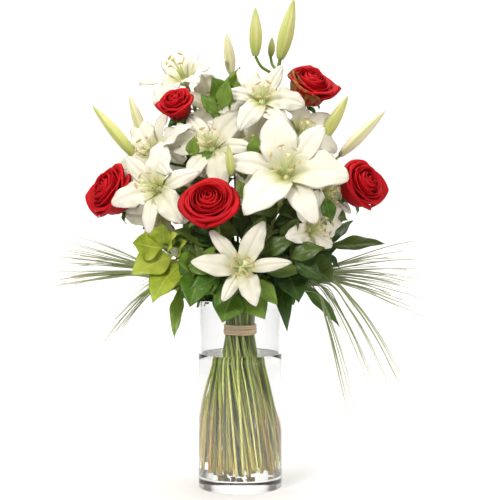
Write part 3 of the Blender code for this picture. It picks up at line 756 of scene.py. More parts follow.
def lily_petal(lily, angle, width, outer, draw):
    """surface(u, v) of one petal. draw is its own source of chance."""
    opening = petal_route(lily, draw.uniform(-0.20, 0.16), draw.uniform(0.35, 1.25))
    axis = lily["axis"]
    outward = flower_point(lily, 1.0, 0.0, angle) - lily["base"]
    around = axis.cross(outward)
    waves, phase = draw.uniform(2.6, 3.8), draw.uniform(0, math.tau)
    ruffle = draw.uniform(0.7, 1.3) * RUFFLE[outer]
    swing, twist = draw.uniform(-0.22, 0.22), draw.uniform(-0.55, 0.55)

    def surface(u, v):
        spot, way = opening.point(v), opening.direction(v)
        inner = Vector((-way.z, 0, way.x))
        half = width / 2 * petal_outline(v, FULLNESS[outer])
        wrap = max(spot.x, 0.004) * (1 + 5 * v * v) + 0.002
        turn = u * half / wrap
        lift = wrap * (1 - math.cos(turn))
        groove = -0.0014 * math.exp(-((u / 0.14) ** 2)) * (1 - v) ** 0.5
        shoulder = 0.0009 * math.exp(-(((abs(u) - 0.33) / 0.16) ** 2))
        edge = abs(u) ** 2.2 * math.sin(math.pi * min(v * 1.05, 1.0))
        wave = ruffle * edge * math.sin(waves * math.tau * v + phase + (1.1 if u > 0 else 0.0))
        reflex = -edge * 0.0045 * v
        height = lift + groove + shoulder + wave + reflex - SET_BACK[outer]
        lateral = wrap * math.sin(turn)
        roll = twist * v * v
        height, lateral = (height * math.cos(roll) + lateral * math.sin(roll),
                           lateral * math.cos(roll) - height * math.sin(roll))
        radius = spot.x + inner.x * height
        level = spot.z + inner.z * height
        lateral += swing * width * v * v
        return lily["base"] + outward * radius + around * lateral + axis * level

    return surface


print("inner margins wave by", RUFFLE[False] * 1000, "mm, outer ones by", RUFFLE[True] * 1000, "mm")

# %% Grow the petals
BROAD = {True: 0.38, False: 0.56}  # width against length, of outer and of inner petals
NARROW = {"lily_front": 0.78, "lily_right_low": 0.90, "lily_right_large": 1.12}
HANGING = {"lily_front": 0.24, "lily_right_low": 0.30}  # how much shorter a petal is that hangs
YOUNG = {"lily_right_low": 0.88}  # share of its full size
# The front lily's petals are held to a creamier, darker tone. This is partly their own colour and partly
# painted shade, because that flower sits low in the bouquet's shade.
CREAM_AND_SHADE = {"lily_front": 0.60}  # lowest tone of its petals
PETAL_GRID, PETAL_THICK = (14, 32), 0.0009


def grow_petals(name, lily, seed):
    """Six petals: slimmer in a narrow flower, shorter where they hang or are not yet full size."""
    draw = random.Random(seed)
    skin = Skin()
    length = Line([Vector((r, 0, h)) for r, h in lily["opening"]]).length
    for k, angle in enumerate(lily["angles"]):
        outer = k % 2 == 1
        width = length * BROAD[outer] * NARROW.get(name, 1.0) * draw.uniform(0.92, 1.08)
        heading = angle + draw.uniform(-0.16, 0.16)
        down = (lily["base"] - flower_point(lily, 1.0, 0.0, heading)).z
        share = YOUNG.get(name, 1.0) - HANGING.get(name, 0.0) * max(down, 0.0)
        grown = dict(lily, opening=[(r * share, h * share) for r, h in lily["opening"]])
        petal = lily_petal(grown, heading, width, outer, draw)
        skin.sheet(petal, *PETAL_GRID, PETAL_THICK, max(draw.random(), CREAM_AND_SHADE.get(name, 0.0)))
    return skin.piece(name + "_petals", petal_white)


for k, (name, lily) in enumerate(lilies.items()):
    settle(grow_petals(name, lily, 40 + k), "lily_petal", name)

# %% [markdown]
# ## Half-hidden lilies
# Each lily stem carries more flowers than the ones that stand out. Between and behind those sit
# half-hidden ones whose petals close the gaps, so the heart of the bouquet reads as one white
# mass. They have no node of their own. Each one is placed between two or three measured flowers,
# borrows the opening of one of them, and faces its own way.

# %% Place the half-hidden lilies
HIDDEN = {
    # neighbours, a step from their middle, the way it faces, its size against the first neighbour
    "hidden_lily_top": (
        ("lily_top", "lily_right_large"),
        (0.030, 0.020, 0.006), (0.55, -0.70, 0.45), 1.05,
    ),
    "hidden_lily_left": (
        ("lily_left", "lily_left_upper"),
        (-0.036, 0.034, 0.016), (-0.70, -0.50, 0.50), 1.10,
    ),
    "hidden_lily_heart": (
        ("lily_left_upper", "lily_right_large"),
        (0.004, 0.026, 0.012), (-0.05, -0.95, 0.30), 1.15,
    ),
    "hidden_lily_side": (
        ("lily_left",),
        (0.006, 0.034, -0.030), (-0.55, -0.80, -0.30), 0.92,
    ),
    "hidden_lily_high": (
        ("lily_upper_left", "lily_top"),
        (-0.008, 0.016, -0.022), (-0.30, -0.80, 0.50), 0.95,
    ),
    "hidden_lily_right": (
        ("lily_right_large", "lily_right_low"),
        (0.030, 0.030, 0.010), (0.75, -0.60, 0.15), 0.70,
    ),
}


def borrowed_lily(neighbours, step, facing, size, seed):
    """A lily between its neighbours, with the first one's opening at another size."""
    first = lilies[neighbours[0]]
    base = middle([lilies[name]["base"] for name in neighbours]) + Vector(step)
    axis = Vector(facing).normalized()
    side = axis.orthogonal().normalized()
    side.rotate(Matrix.Rotation(random.Random(seed).uniform(0, math.tau), 3, axis))
    opening = first["opening"][:1] + [(r * size, h * size) for r, h in first["opening"][1:]]
    reach = (first["style"][1] - first["style"][0]).length * size
    angles = [math.tau * k / 6 - math.pi for k in range(6)]
    return {"base": base, "axis": axis, "side": side, "angles": angles, "opening": opening,
            "style": (base + axis * 0.002, base + axis * reach)}


hidden = {name: borrowed_lily(*entry, 700 + k) for k, (name, entry) in enumerate(HIDDEN.items())}
for k, (name, lily) in enumerate(hidden.items()):
    settle(grow_petals(name, lily, 720 + k), "lily_petal")

# %% [markdown]
# ## Style and stamens
# In the throat stand one style with a three-lobed stigma and six thin filaments, each with an
# anther balanced across its end. Florists often pinch the anthers off to save the petals from
# pollen, so they stay small and pale here, a little browner on the front flower.

# %% Materials in the throat
def style_material():
    recipe = Recipe("green_style", 0.38, Specular_IOR_Level=0.4)
    _, v = recipe.place()
    green = recipe.ramp(v, [
        (0.0, (0.42, 0.50, 0.16)), (0.6, (0.62, 0.68, 0.32)), (1.0, (0.60, 0.56, 0.26)),
    ])
    speck = recipe.spread(recipe.noise(recipe.metres(), 900.0), 0.4, 0.7, 0.0, 0.35)
    recipe.colour(recipe.mix(speck, green, (0.78, 0.80, 0.55)))
    recipe.relief(recipe.noise(recipe.metres(), 1400.0), 0.3, 0.0003)
    return recipe.material


def anther_material():
    recipe = Recipe("dusty_anther", 0.85, Sheen_Weight=0.3)
    grain = recipe.noise(recipe.metres(), 2600.0, 2.0)
    shade = recipe.mix(recipe.tone(), (0.46, 0.36, 0.13), (0.26, 0.13, 0.04))
    recipe.colour(recipe.mix(recipe.spread(grain, 0.3, 0.7), shade, (0.62, 0.50, 0.24)))
    recipe.relief(grain, 0.6, 0.0004)
    return recipe.material


style_green, anther_tan = style_material(), anther_material()
print("throat materials", style_green.name, anther_tan.name)

# %% Shapes in the throat
STIGMA = 0.90  # share of the style where its stigma starts


def stigma_squeeze(angle, share):
    """Three lobes at the end of the style."""
    return 1 + (0.28 if share > STIGMA else 0.04) * math.cos(3 * angle)


def style_radius(share):
    """A thin style that swells into its stigma."""
    if share < STIGMA:
        return 0.0012 + 0.0003 * share
    return 0.0017 + 0.0016 * math.sin((share - STIGMA) / (1 - STIGMA) * math.pi * 0.80)


def ovary_radius(share):
    return 0.0012 + 0.0040 * math.sin(math.pi * (0.12 + 0.80 * share))


def filament_radius(share):
    return 0.00075 - 0.0003 * share


def anther_radius(share):
    return 0.0002 + 0.0013 * math.sin(math.pi * (0.06 + 0.88 * share)) ** 0.6


print("the stigma is", round(max(style_radius(k / 50) for k in range(51)) * 2000, 1), "mm across")

# %% Build style and stamens
ANTHER_HALF = 0.0042


def grow_throat(name, lily, seed, brown):
    """A style and six stamens. brown is the lowest tone of the anthers."""
    draw = random.Random(seed)
    skin, anthers = Skin(), Skin()
    foot, top = lily["style"]
    reach = (top - foot).length
    low = (foot - lily["base"]).dot(lily["axis"])
    lean = draw.uniform(0, math.tau)
    bent = [foot, flower_point(lily, 0.001, low + reach * 0.6, lean),
            flower_point(lily, 0.0045, low + reach, lean)]
    skin.tube(Line(bent), style_radius, 12, 30, 0.6, stigma_squeeze)
    ovary = Line([flower_point(lily, 0, level, 0) for level in (-0.003, 0.001, 0.0045)])
    skin.tube(ovary, ovary_radius, 16, 12, 0.5)
    for k in range(6):
        angle = lily["angles"][k] + draw.uniform(-0.12, 0.12)
        out = reach * draw.uniform(0.36, 0.48)
        rise = low + reach * draw.uniform(0.80, 0.92)
        stalk = Line([
            flower_point(lily, 0.0030, low, angle),
            flower_point(lily, out * 0.35, low + (rise - low) * 0.55, angle),
            flower_point(lily, out, rise, angle),
        ])
        skin.tube(stalk, filament_radius, 6, 12, 0.3)
        end = stalk.point(1.0)
        across = lily["axis"].cross(stalk.direction(1.0)).normalized()
        tilt = (across + lily["axis"] * draw.uniform(-0.5, 0.5)).normalized()
        bar = Line([end - tilt * ANTHER_HALF, end + lily["axis"] * 0.0006, end + tilt * ANTHER_HALF])
        anthers.tube(bar, anther_radius, 8, 10, min(brown + draw.uniform(0, 0.3), 1.0))
    return skin.piece(name + "_style", style_green), anthers.piece(name + "_anthers", anther_tan)


for k, (name, lily) in enumerate(lilies.items()):
    style, anthers = grow_throat(name, lily, 60 + k, 0.6 if name == "lily_front" else 0.1)
    settle(style, "lily_style", name + "_pistil")
    settle(anthers, "lily_style")
for k, (name, lily) in enumerate(hidden.items()):
    for piece in grow_throat(name, lily, 740 + k, 0.1):
        settle(piece, "lily_style")

# %% [markdown]
# ## Lily buds
# A closed lily bud is a long three-sided spindle: three petal backs with a rounded ridge each, and
# a fine seam between them. It is greenest along the ridges and at both ends. A scaled sphere would
# miss the seams, so each bud is a tube whose radius follows a spindle and whose outline has ridges.

# %% Bud material
def bud_material():
    recipe = Recipe("green_bud", 0.36, Specular_IOR_Level=0.4,
                    Subsurface_Weight=0.12, Subsurface_Scale=0.004)
    u, v = recipe.place()
    ridge = recipe.maths("COSINE", recipe.product(u, math.tau * 3))
    on_ridge = recipe.spread(ridge, 0.35, 1.0)
    body = recipe.ramp(v, [
        (0.00, (0.20, 0.30, 0.03)), (0.10, (0.38, 0.46, 0.07)), (0.40, (0.54, 0.56, 0.15)),
        (0.75, (0.60, 0.60, 0.20)), (1.00, (0.34, 0.40, 0.06)),
    ])
    pale = recipe.mix(recipe.tone(), body, (0.82, 0.74, 0.56))
    green = recipe.mix(recipe.product(on_ridge, 0.60), pale, (0.28, 0.38, 0.05))
    mottle = recipe.spread(recipe.noise(recipe.metres((1, 1, 0.3)), 160.0), 0.35, 0.75, 0.0, 0.25)
    recipe.colour(recipe.mix(mottle, green, (0.66, 0.66, 0.32)))
    lines = recipe.noise(recipe.lengthwise(60, 2.5), 1.0, 2.0)
    recipe.relief(lines, 0.3, 0.0006)
    return recipe.material


bud_skin = bud_material()
print(bud_skin.name, len(bud_skin.node_tree.nodes), "nodes")

# %% Measure a bud
def measure_bud(node):
    """The line of a bud from its base to its tip, and its fullest radius."""
    builder = welded(node)
    base = cut_ends(builder)[0]
    rings = [base] + peel(base, len(base))
    radius = max((corner.co - middle(ring)).length for ring in rings for corner in ring)
    line = [middle(ring) for ring in rings]
    tip = max((corner.co for corner in builder.verts), key=lambda c: (c - line[0]).length)
    line.append(tip.copy())
    builder.free()
    return Line(line), radius


bud_names = [n for n in node_names if n.startswith("bud_")]
for node in bud_names:
    line, full = measure_bud(node)
    print(node, "is", round(line.length * 1000), "mm long and", round(full * 2000), "mm thick")

# %% Grow the buds
SLIM = 0.87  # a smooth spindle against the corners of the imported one
GREEN_BUD = 0.12  # tone of the buds that are not named here
PALE_BUDS = {"bud_right_cream": 0.85, "bud_left_pale": 0.7, "bud_top_pale": 0.8, "bud_middle": 0.1}


def bud_ridges(angle, share):
    """Three ridges with a fine seam between them, fading at both ends."""
    ends = math.sin(math.pi * share) ** 0.4
    seam = math.exp(-(((math.cos(3 * angle) + 1) / 0.06) ** 2))
    return 1 + (0.07 * math.cos(3 * angle) - 0.05 * seam) * ends


for node in bud_names:
    line, full = measure_bud(node)

    def spindle(share, full=full):
        body = math.sin(math.pi * min(share * 0.94 + 0.06, 1.0) ** 0.80) ** 0.75
        return full * SLIM * max(body, 0.10 if share < 0.5 else 0.04)

    skin = Skin()
    skin.tube(line, spindle, 36, 40, PALE_BUDS.get(node, GREEN_BUD), bud_ridges)
    settle(skin.piece(node + "_spindle", bud_skin), "lily_bud", node)

# %% [markdown]
# ## Rose petals
# A florist's rose is a spiral of some thirty petals. The inner ones wrap into a tight cone, and
# each whorl further out stands a little lower, opens wider and rolls its lip outward. Petals could
# be cut from one spiral strip, but single overlapping cups catch the light on their lips as real
# ones do. The petals are velvet with a soft sheen, and painted shade darkens each one towards its
# base, where it faces into the flower. An older rose opens further and its outer petals come to a
# point, and some keep their guard petals: the tough, greenish ones outside that a florist peels
# off. A tone above 1 marks those.

# %% Rose material
def rose_material():
    recipe = Recipe("rose_velvet", 0.50, Specular_IOR_Level=0.12,
                    Sheen_Weight=0.03, Sheen_Roughness=0.45)
    recipe.shader.inputs["Sheen Tint"].default_value = (1.0, 0.25, 0.25, 1)
    _, v = recipe.place()
    # Painted shade: each petal is darkest at its base, deep in the flower, and brightest at its lip.
    painted_shade = recipe.ramp(v, [
        (0.0, (0.050, 0.001, 0.003)), (0.35, (0.21, 0.002, 0.005)), (0.75, (0.53, 0.004, 0.009)),
        (1.0, (0.63, 0.007, 0.013)),
    ])
    shade = recipe.spread(recipe.tone(), 0.0, 1.0, 0.0, 0.50)
    darker = recipe.mix(shade, painted_shade, (0.26, 0.002, 0.006))
    vein = recipe.spread(recipe.noise(recipe.lengthwise(34, 3.0), 1.0, 3.0), 0.35, 0.7, 0.0, 0.35)
    veined = recipe.mix(vein, darker, (0.36, 0.003, 0.008))
    guard = recipe.spread(recipe.tone(), 1.0, 2.0)
    blotch = recipe.spread(recipe.noise(recipe.lengthwise(9, 3.5), 1.0, 3.0), 0.44, 0.60)
    marked = recipe.mix(recipe.product(guard, blotch), veined, (0.24, 0.17, 0.045))
    recipe.colour(marked)
    ripple = recipe.noise(recipe.lengthwise(30, 4.0), 1.0, 3.0)
    normal = recipe.relief(ripple, 0.30, 0.0006)
    recipe.glow_through(recipe.mix(0.5, marked, (0.60, 0.010, 0.015)), 0.12, normal)
    return recipe.material


rose_velvet = rose_material()
print(rose_velvet.name, len(rose_velvet.node_tree.nodes), "nodes")

# %% Measure a rose
def measure_rose(rose):
    """Base, axis, radius and height of a bloom. Its axis runs on from the end of its stem."""
    stem = plants[rose.replace("rose", "rose_stem")]
    end = max(stem["ends"], key=lambda e: e[1][0].z if e[0] == 6 else -1)[1]
    corners = [corner.co for corner in frame["nodes"][rose].data.vertices]
    base = end[0]
    axis = (middle(corners) - base).normalized()
    height = max((c - base).dot(axis) for c in corners)
    radius = max(((c - base) - (c - base).dot(axis) * axis).length for c in corners)
    return base, axis, radius, height


rose_names = [n for n in node_names if n.startswith("rose_") and "stem" not in n]
for rose in rose_names:
    _, _, radius, height = measure_rose(rose)
    print(rose, "radius", round(radius * 1000, 1), "height", round(height * 1000, 1))

# %% How a rose petal rises
def cup_line(share, radius, height, draw):
    """How one petal rises: (radius, height) places from the flower's base to the petal's lip."""
    reach = radius * (0.13 + 0.72 * share**0.80)
    rim = height * (1.0 - 0.26 * share**1.6) * draw.uniform(0.97, 1.03)
    roll = max(share - 0.30, 0.0) / 0.70
    closing = 0.70 + 0.40 * min(share / 0.45, 1.0)
    places = [
        (radius * 0.08, height * 0.05),
        (reach * (0.62 + 0.20 * share), rim * 0.20),
        (reach * 1.02, rim * 0.58),
        (reach * closing, rim * 0.93),
        (reach * (closing - 0.06 + 0.16 * roll) + radius * 0.10 * roll, rim * (1.0 - 0.02 * roll)),
        (reach * (closing - 0.12 + 0.22 * roll) + radius * 0.17 * roll, rim * (1.03 - 0.14 * roll)),
    ]
    return Line([Vector((r, 0, h)) for r, h in places])


for share in (0.0, 0.5, 1.0):
    cup = cup_line(share, 0.030, 0.050, random.Random(0))
    print("at share", share, "of the spiral the lip is", round(cup.places[-1].x * 1000, 1), "mm out and",
          round(cup.places[-1].z * 1000, 1), "mm up")

# %% One rose petal
GOLDEN_ANGLE = math.radians(137.5)
ROSE_PETALS = 27


def rose_petal(base, frame_axes, k, radius, height, pointed, draw):
    """surface(u, v) of the k-th petal of the spiral, 0 in the middle of the flower."""
    side, around, axis = frame_axes
    share = k / (ROSE_PETALS - 1)
    line = cup_line(share, radius, height, draw)
    heading = k * GOLDEN_ANGLE + draw.uniform(-0.12, 0.12)
    span = math.radians(116 - 46 * share**0.7)
    tuck, seed = 0.08 - 0.03 * share, draw.uniform(0, 100)
    peak = draw.uniform(0.02, 0.06) * share * pointed
    frill_size = 0.0020 * share * pointed**0.5

    def surface(u, v):
        spot = line.point(v)
        width = 0.30 + 0.70 * math.sin(math.pi / 2 * min(v / 0.62, 1.0))
        angle = heading + u * span * width
        point = peak * (1 - abs(u)) ** 2 * v**4
        drop = 1 - (0.06 + 0.13 * share) * abs(u) ** 2.4 * v**2 + point
        ripple = noise.noise(Vector((u * 1.5, v * 1.6, seed))) * 0.0022 * v
        frill = noise.noise(Vector((u * 2.4, 7.0, seed))) * frill_size * v**4
        reach = spot.x * (1 + tuck * u + point * share) + ripple
        outward = math.cos(angle) * side + math.sin(angle) * around
        return base + outward * reach + axis * (spot.z * drop + frill)

    return surface


print(ROSE_PETALS, "petals go", round((ROSE_PETALS - 1) * GOLDEN_ANGLE / math.tau, 1), "times round")

# %% Grow the roses
# How far open each rose is, and how strongly its outer petals come to a point
OPENNESS = {"rose_front": 0.88, "rose_right": 0.89, "rose_left": 0.92,
            "rose_upper_left": 0.81, "rose_upper_right": 0.87}
POINTED = {"rose_front": 1.0, "rose_right": 2.2, "rose_left": 3.2,
           "rose_upper_left": 3.6, "rose_upper_right": 3.8}
GUARDED = "rose_upper_right"
GUARD_TONE = 2.0
ROSE_GRID, ROSE_THICK = (24, 18), 0.0007


def rose_frame(axis):
    """Two directions across a rose, and its axis."""
    side = UP.cross(axis).normalized()
    return side, axis.cross(side), axis


def grow_rose(rose, seed):
    """The whole spiral. The guarded rose keeps its tough, greenish outer petals on the left."""
    draw = random.Random(seed)
    base, axis, radius, height = measure_rose(rose)
    radius *= OPENNESS[rose]
    skin = Skin()
    for k in range(ROSE_PETALS):
        petal = rose_petal(base, rose_frame(axis), k, radius, height, POINTED[rose], draw)
        leftward = (petal(0, 1) - base).x < -0.25 * radius
        guard = rose == GUARDED and leftward and k > ROSE_PETALS * 0.45
        skin.sheet(petal, *ROSE_GRID, ROSE_THICK, GUARD_TONE if guard else draw.random())
    return skin.piece(rose + "_petals", rose_velvet)


for k, rose in enumerate(rose_names):
    settle(grow_rose(rose, 80 + k), "rose_petal", rose)

# %% [markdown]
# ## Stems
# Above the water the stems are fresh green. Under water they turn paler and browner towards the
# cut. The colour therefore follows height, with noise stretched along the stem for its fibres,
# and a tone per stem: low tones are pale, middle ones dark and high ones twig brown. The shape
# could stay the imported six-sided solid, but round stems with small swellings where leaves join
# look alive, above all when the water magnifies them.

# %% Stem material
water_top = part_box("water")[1].z
vase_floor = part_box("water")[0].z


def stem_material():
    recipe = Recipe("stem_skin", 0.45, Specular_IOR_Level=0.35)
    height = recipe.where()[2]
    fibre = recipe.noise(recipe.metres((1, 1, 0.04)), 900.0, 3.0)
    patch = recipe.noise(recipe.metres((1, 1, 0.35)), 55.0, 2.0)
    wet = recipe.spread(height, vase_floor, water_top + 0.02)
    wander = recipe.maths("ADD", wet, recipe.spread(patch, 0.3, 0.7, -0.18, 0.18))
    fresh = recipe.ramp(wander, [
        (0.00, (0.49, 0.32, 0.040)), (0.35, (0.44, 0.37, 0.030)), (0.65, (0.25, 0.32, 0.022)),
        (1.00, (0.13, 0.21, 0.020)),
    ])
    tone = recipe.tone()
    twiggy = recipe.product(recipe.spread(tone, 0.66, 0.90, 0.0, 0.85),
                            recipe.spread(wet, 0.30, 0.85, 1.0, 0.0))
    brown = recipe.mix(twiggy, fresh, (0.36, 0.20, 0.052))
    # Low tones give pale strands and middle tones give dark olive ones. Both are partly painted light: the
    # pale ones stand in for stems that catch the light under water, and the dark ones for the shade between
    # the stems.
    light = recipe.mix(recipe.spread(tone, 0.05, 0.30, 0.80, 0.0), brown, (0.69, 0.69, 0.25))
    dark = recipe.product(recipe.spread(tone, 0.30, 0.38), recipe.spread(tone, 0.46, 0.54, 1.0, 0.0))
    olive = recipe.mix(recipe.product(dark, 0.85), light, (0.045, 0.065, 0.008))
    recipe.colour(recipe.mix(recipe.spread(fibre, 0.40, 0.62, 0.0, 0.35), olive, (0.09, 0.11, 0.02)))
    recipe.relief(fibre, 0.45, 0.0005)
    return recipe.material


stem_skin = stem_material()
print(stem_skin.name, "green above", round(water_top, 3), "m and tan at", round(vase_floor, 3), "m")

# %% Follow each stem and its stalks
def main_line(plant):
    """The whole stem: its rings from the foot, then its own top end or its highest leaves."""
    places = list(plant["foot"])
    tops = [end for end in plant["ends"] if end[0] == 6]
    if tops:
        top = list(reversed(tops[0][1]))
        return Line([p for p in places if (p - top[0]).length > 0.006] + top)
    end, last = places[-1], places[-1] - places[-2]
    roots = sorted((leaf_root(leaf) for leaf in plant["leaves"]), key=lambda r: (r - end).length)
    beyond = [r for r in roots if (r - end).dot(last) > 0 and (r - end).length > 0.008]
    if beyond:
        places.append(middle(beyond[-2:]))
    return Line(places)


def leaf_root(leaf):
    """Where a leaf's own stalk leaves the stem, a little behind its last measured ring."""
    rings = leaf[1]
    if len(rings) < 3:
        return rings[-1][0] + (rings[-1][0] - rings[-2][0]) * 1.3
    return rings[2][0] + (rings[2][0] - rings[1][0]) * 0.66


def stalk_line(end, stem):
    """A stalk from the stem it grows on to the flower or bud it carries."""
    path = end[1]
    before = path[-1] + (path[-1] - path[-2]).normalized() * 0.012
    root = stem.point(stem.nearest(before) * 0.995)
    return Line([root] + list(reversed(path)))


stems = {name: main_line(plant) for name, plant in plants.items()}
print({name: round(line.length, 3) for name, line in stems.items()})

# %% Shapes on a stem
SLENDER = 0.88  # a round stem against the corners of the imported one


def stem_radius(plant, line, roots):
    """Radius along a stem: thinner upwards, with a small swelling at each joint."""
    joints = [line.nearest(root) for root in roots]

    def radius(share):
        swell = sum(math.exp(-(((share - joint) * line.length / 0.0035) ** 2)) for joint in joints)
        return plant["girth"] * SLENDER * (1 - 0.25 * share) * (1 + 0.16 * min(swell, 1.0))

    return radius


def thorns(skin, line, radius, draw):
    """A few small hooked thorns between the tie and the flower."""
    for share in (0.66, 0.76, 0.86):
        here, way = line.point(share), line.direction(share)
        out = way.orthogonal().normalized()
        out.rotate(Matrix.Rotation(draw.uniform(0, math.tau), 3, way))
        root = here + out * radius(share) * 0.7
        hook = Line([root, root + out * 0.0022 - way * 0.0002, root + out * 0.0038 - way * 0.0014])
        skin.tube(hook, lambda s: 0.0014 * (1 - s) ** 0.8 + 0.0001, 8, 6, 0.8)


front = plants["rose_stem_front"]
print("the front rose's stem is", round(front["girth"] * SLENDER * 2000, 1), "mm thick at its foot")

# %% Grow the stems
STALK_SIDES = 5  # a stalk's cut end has five corners in the model, a stem's has six
STEM_TONES = {"lily_stem": 0.42, "rose_stem": 0.50, "sprig": 0.62}
for k, (name, plant) in enumerate(plants.items()):
    if name.startswith("bear"):
        continue
    draw = random.Random(120 + k)
    line = stems[name]
    carried = [end for end in plant["ends"] if end[0] == STALK_SIDES]
    stalks = [stalk_line(end, line) for end in carried]
    roots = [leaf_root(leaf) for leaf in plant["leaves"]] + [stalk.places[0] for stalk in stalks]
    radius = stem_radius(plant, line, roots)
    tone = next(tone for kind, tone in STEM_TONES.items() if name.startswith(kind))
    tone += draw.uniform(-0.32, 0.25)
    skin = Skin()
    skin.tube(line, radius, 14, 90, tone)
    for (_, _, girth), stalk in zip(carried, stalks):
        skin.tube(stalk, lambda s, girth=girth: girth * (1.25 - 0.25 * s), 12, 24, tone)
    if name.startswith("rose"):
        thorns(skin, line, radius, draw)
    settle(skin.piece(name + "_stalks", stem_skin), "stem", name)

# %% [markdown]
# ## The thin stalks between
# A real bundle holds more than the flowers' own stems: the bare lower ends of sprigs, thin twigs
# and the split ends of broad stems. They fan out below the tie until they nearly touch the glass.
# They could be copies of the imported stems, but lines that turn round the bundle the same way fill
# the vase with far less work. Some turn a little and some a lot, or the bundle would look machined,
# and most of those at the left and the right are brown twigs.

# %% Which way the bundle turns
tie_low, tie_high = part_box("raffia_tie")
tie_middle = (tie_low + tie_high) / 2
tie_outer = (tie_high.x - tie_low.x) / 2


def heading(spot):
    """The direction of a place, seen from the middle of the vase."""
    return math.atan2(spot.y, spot.x)


turns = []
for line in stems.values():
    foot, waist = line.point(0), line.point(line.share_at(tie_middle.z))
    turns.append((heading(foot) - heading(waist) + math.pi) % math.tau - math.pi)
twist = sum(turns) / len(turns)
print("the bundle turns", round(math.degrees(twist)), "degrees from the tie to the feet, feet reach",
      round(max(line.point(0).xy.length for line in stems.values()) * 1000), "mm")

# %% Fan the thin stalks out
GLASS_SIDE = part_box("vase")[1].x
OUTER_STALKS, INNER_STALKS = 46, 30
CLEAR_OF_FLOOR = (0.005, 0.016)


def thin_route(foot_radius, waist_radius, angle, turn, draw):
    """From the vase floor through the tie to just under the flowers."""
    foot = Vector((foot_radius * math.cos(angle), foot_radius * math.sin(angle),
                   vase_floor + draw.uniform(*CLEAR_OF_FLOOR)))
    back = angle - turn
    waist = Vector((waist_radius * math.cos(back), waist_radius * math.sin(back), tie_middle.z))
    belly = foot.lerp(waist, 0.45)
    belly.xy *= 1.10
    above = waist + (waist - foot).normalized() * draw.uniform(0.03, 0.06)
    above.xy = waist.xy.lerp(above.xy, 0.4)
    return Line([foot, belly, waist, above])


draw = random.Random(500)
thin = Skin()
for k in range(OUTER_STALKS + INNER_STALKS):
    if k < OUTER_STALKS:
        reach = GLASS_SIDE - draw.uniform(0.0055, 0.0110)
        angle = math.tau * (k + draw.uniform(-0.3, 0.3)) / OUTER_STALKS
        waist = tie_outer - draw.uniform(0.0035, 0.0065)
    else:
        reach = GLASS_SIDE * draw.uniform(0.25, 0.75)
        angle = draw.uniform(0, math.tau)
        waist = tie_outer * draw.uniform(0.2, 0.75)
    girth = draw.uniform(0.0009, 0.0018)
    route = thin_route(reach, waist, angle, twist * draw.uniform(0.1, 1.5), draw)
    twiggy = draw.random() < 0.75 * math.cos(angle) ** 2
    tone = draw.uniform(0.70, 0.95) if twiggy else draw.uniform(0.0, 0.64)
    thin.tube(route, lambda share, girth=girth: girth * (1 - 0.3 * share), 10, 40, tone)
settle(thin.piece("thin_stalks", stem_skin), "stem")

# %% [markdown]
# ## Leaves
# Three greens: glossy yellow-green ovals on the left, mid-green leaves over the rim and dark ones
# on the right. Each has a paler midrib, side veins that sweep towards the tip, a margin that waves
# and a blade that cups a little. The veins are drawn by one formula from the (across, along)
# place, used twice: once to tint the colour and once as relief, so the two always line up. The
# midrib's fold and the waves are real geometry.

# %% Leaf material
def leaf_material(name, body, light, dark, roughness, veins):
    """A green leaf with so many pairs of side veins. light is also the colour of its veins."""
    recipe = Recipe(name, roughness, Specular_IOR_Level=0.45)
    u, v = recipe.place()
    from_rib = recipe.off_middle(u)
    swept = recipe.maths("SUBTRACT", v, recipe.product(from_rib, 0.42))
    comb = recipe.maths("FRACT", recipe.product(swept, veins))
    tooth = recipe.spread(recipe.off_middle(comb), 0.0, 0.085, 1.0, 0.0)
    side_vein = recipe.product(tooth, recipe.spread(from_rib, 0.02, 0.44, 0.75, 0.0))
    rib = recipe.spread(from_rib, 0.012, 0.035, 1.0, 0.0)
    vein = recipe.maths("MAXIMUM", rib, side_vein)
    cloud = recipe.spread(recipe.noise(recipe.metres(), 70.0, 4.0), 0.32, 0.70)
    blade = recipe.mix(cloud, body, dark)
    toned = recipe.mix(recipe.spread(recipe.tone(), 0.3, 1.0, 0.0, 0.55), blade, light)
    edge = recipe.spread(from_rib, 0.40, 0.50, 0.0, 0.35)
    rimmed = recipe.mix(edge, toned, dark)
    fleck = recipe.spread(recipe.noise(recipe.metres(), 420.0, 2.0), 0.60, 0.75, 0.0, 0.30)
    flecked = recipe.mix(fleck, rimmed, light)
    coloured = recipe.mix(recipe.product(vein, 0.60), flecked, light)
    recipe.colour(coloured)
    net = recipe.noise(recipe.metres(), 900.0, 2.0)
    height = recipe.maths("SUBTRACT", recipe.product(net, 0.35), vein)
    normal = recipe.relief(height, 0.55, 0.0007)
    recipe.glow_through(recipe.mix(0.5, coloured, light), 0.22, normal)
    return recipe.material


leaf_skins = {
    "leaf_light": leaf_material(
        "lime_leaf", (0.47, 0.57, 0.045), (0.72, 0.76, 0.16), (0.25, 0.36, 0.028), 0.38, 11.0),
    "leaf_mid": leaf_material(
        "green_leaf", (0.100, 0.22, 0.018), (0.32, 0.46, 0.065), (0.040, 0.12, 0.010), 0.36, 10.0),
    "leaf_dark": leaf_material(
        "dark_leaf", (0.040, 0.100, 0.012), (0.16, 0.22, 0.035), (0.016, 0.050, 0.006), 0.34, 10.0),
    "stem": leaf_material(
        "lily_leaf", (0.13, 0.24, 0.025), (0.32, 0.42, 0.08), (0.06, 0.14, 0.014), 0.36, 3.0),
}
print("leaf materials", [material.name for material in leaf_skins.values()])

# %% Leaf outline
LEAF_GROWTH = {
    # widest share, waviness, fullness of the outline
    "leaf_light": (0.40, 0.0016, 0.95),
    "leaf_mid": (0.42, 0.0014, 1.05),
    "leaf_dark": (0.42, 0.0013, 1.05),
    "stem": (0.45, 0.0007, 0.85),
}


LEAF_STALK = 0.10  # share of the length


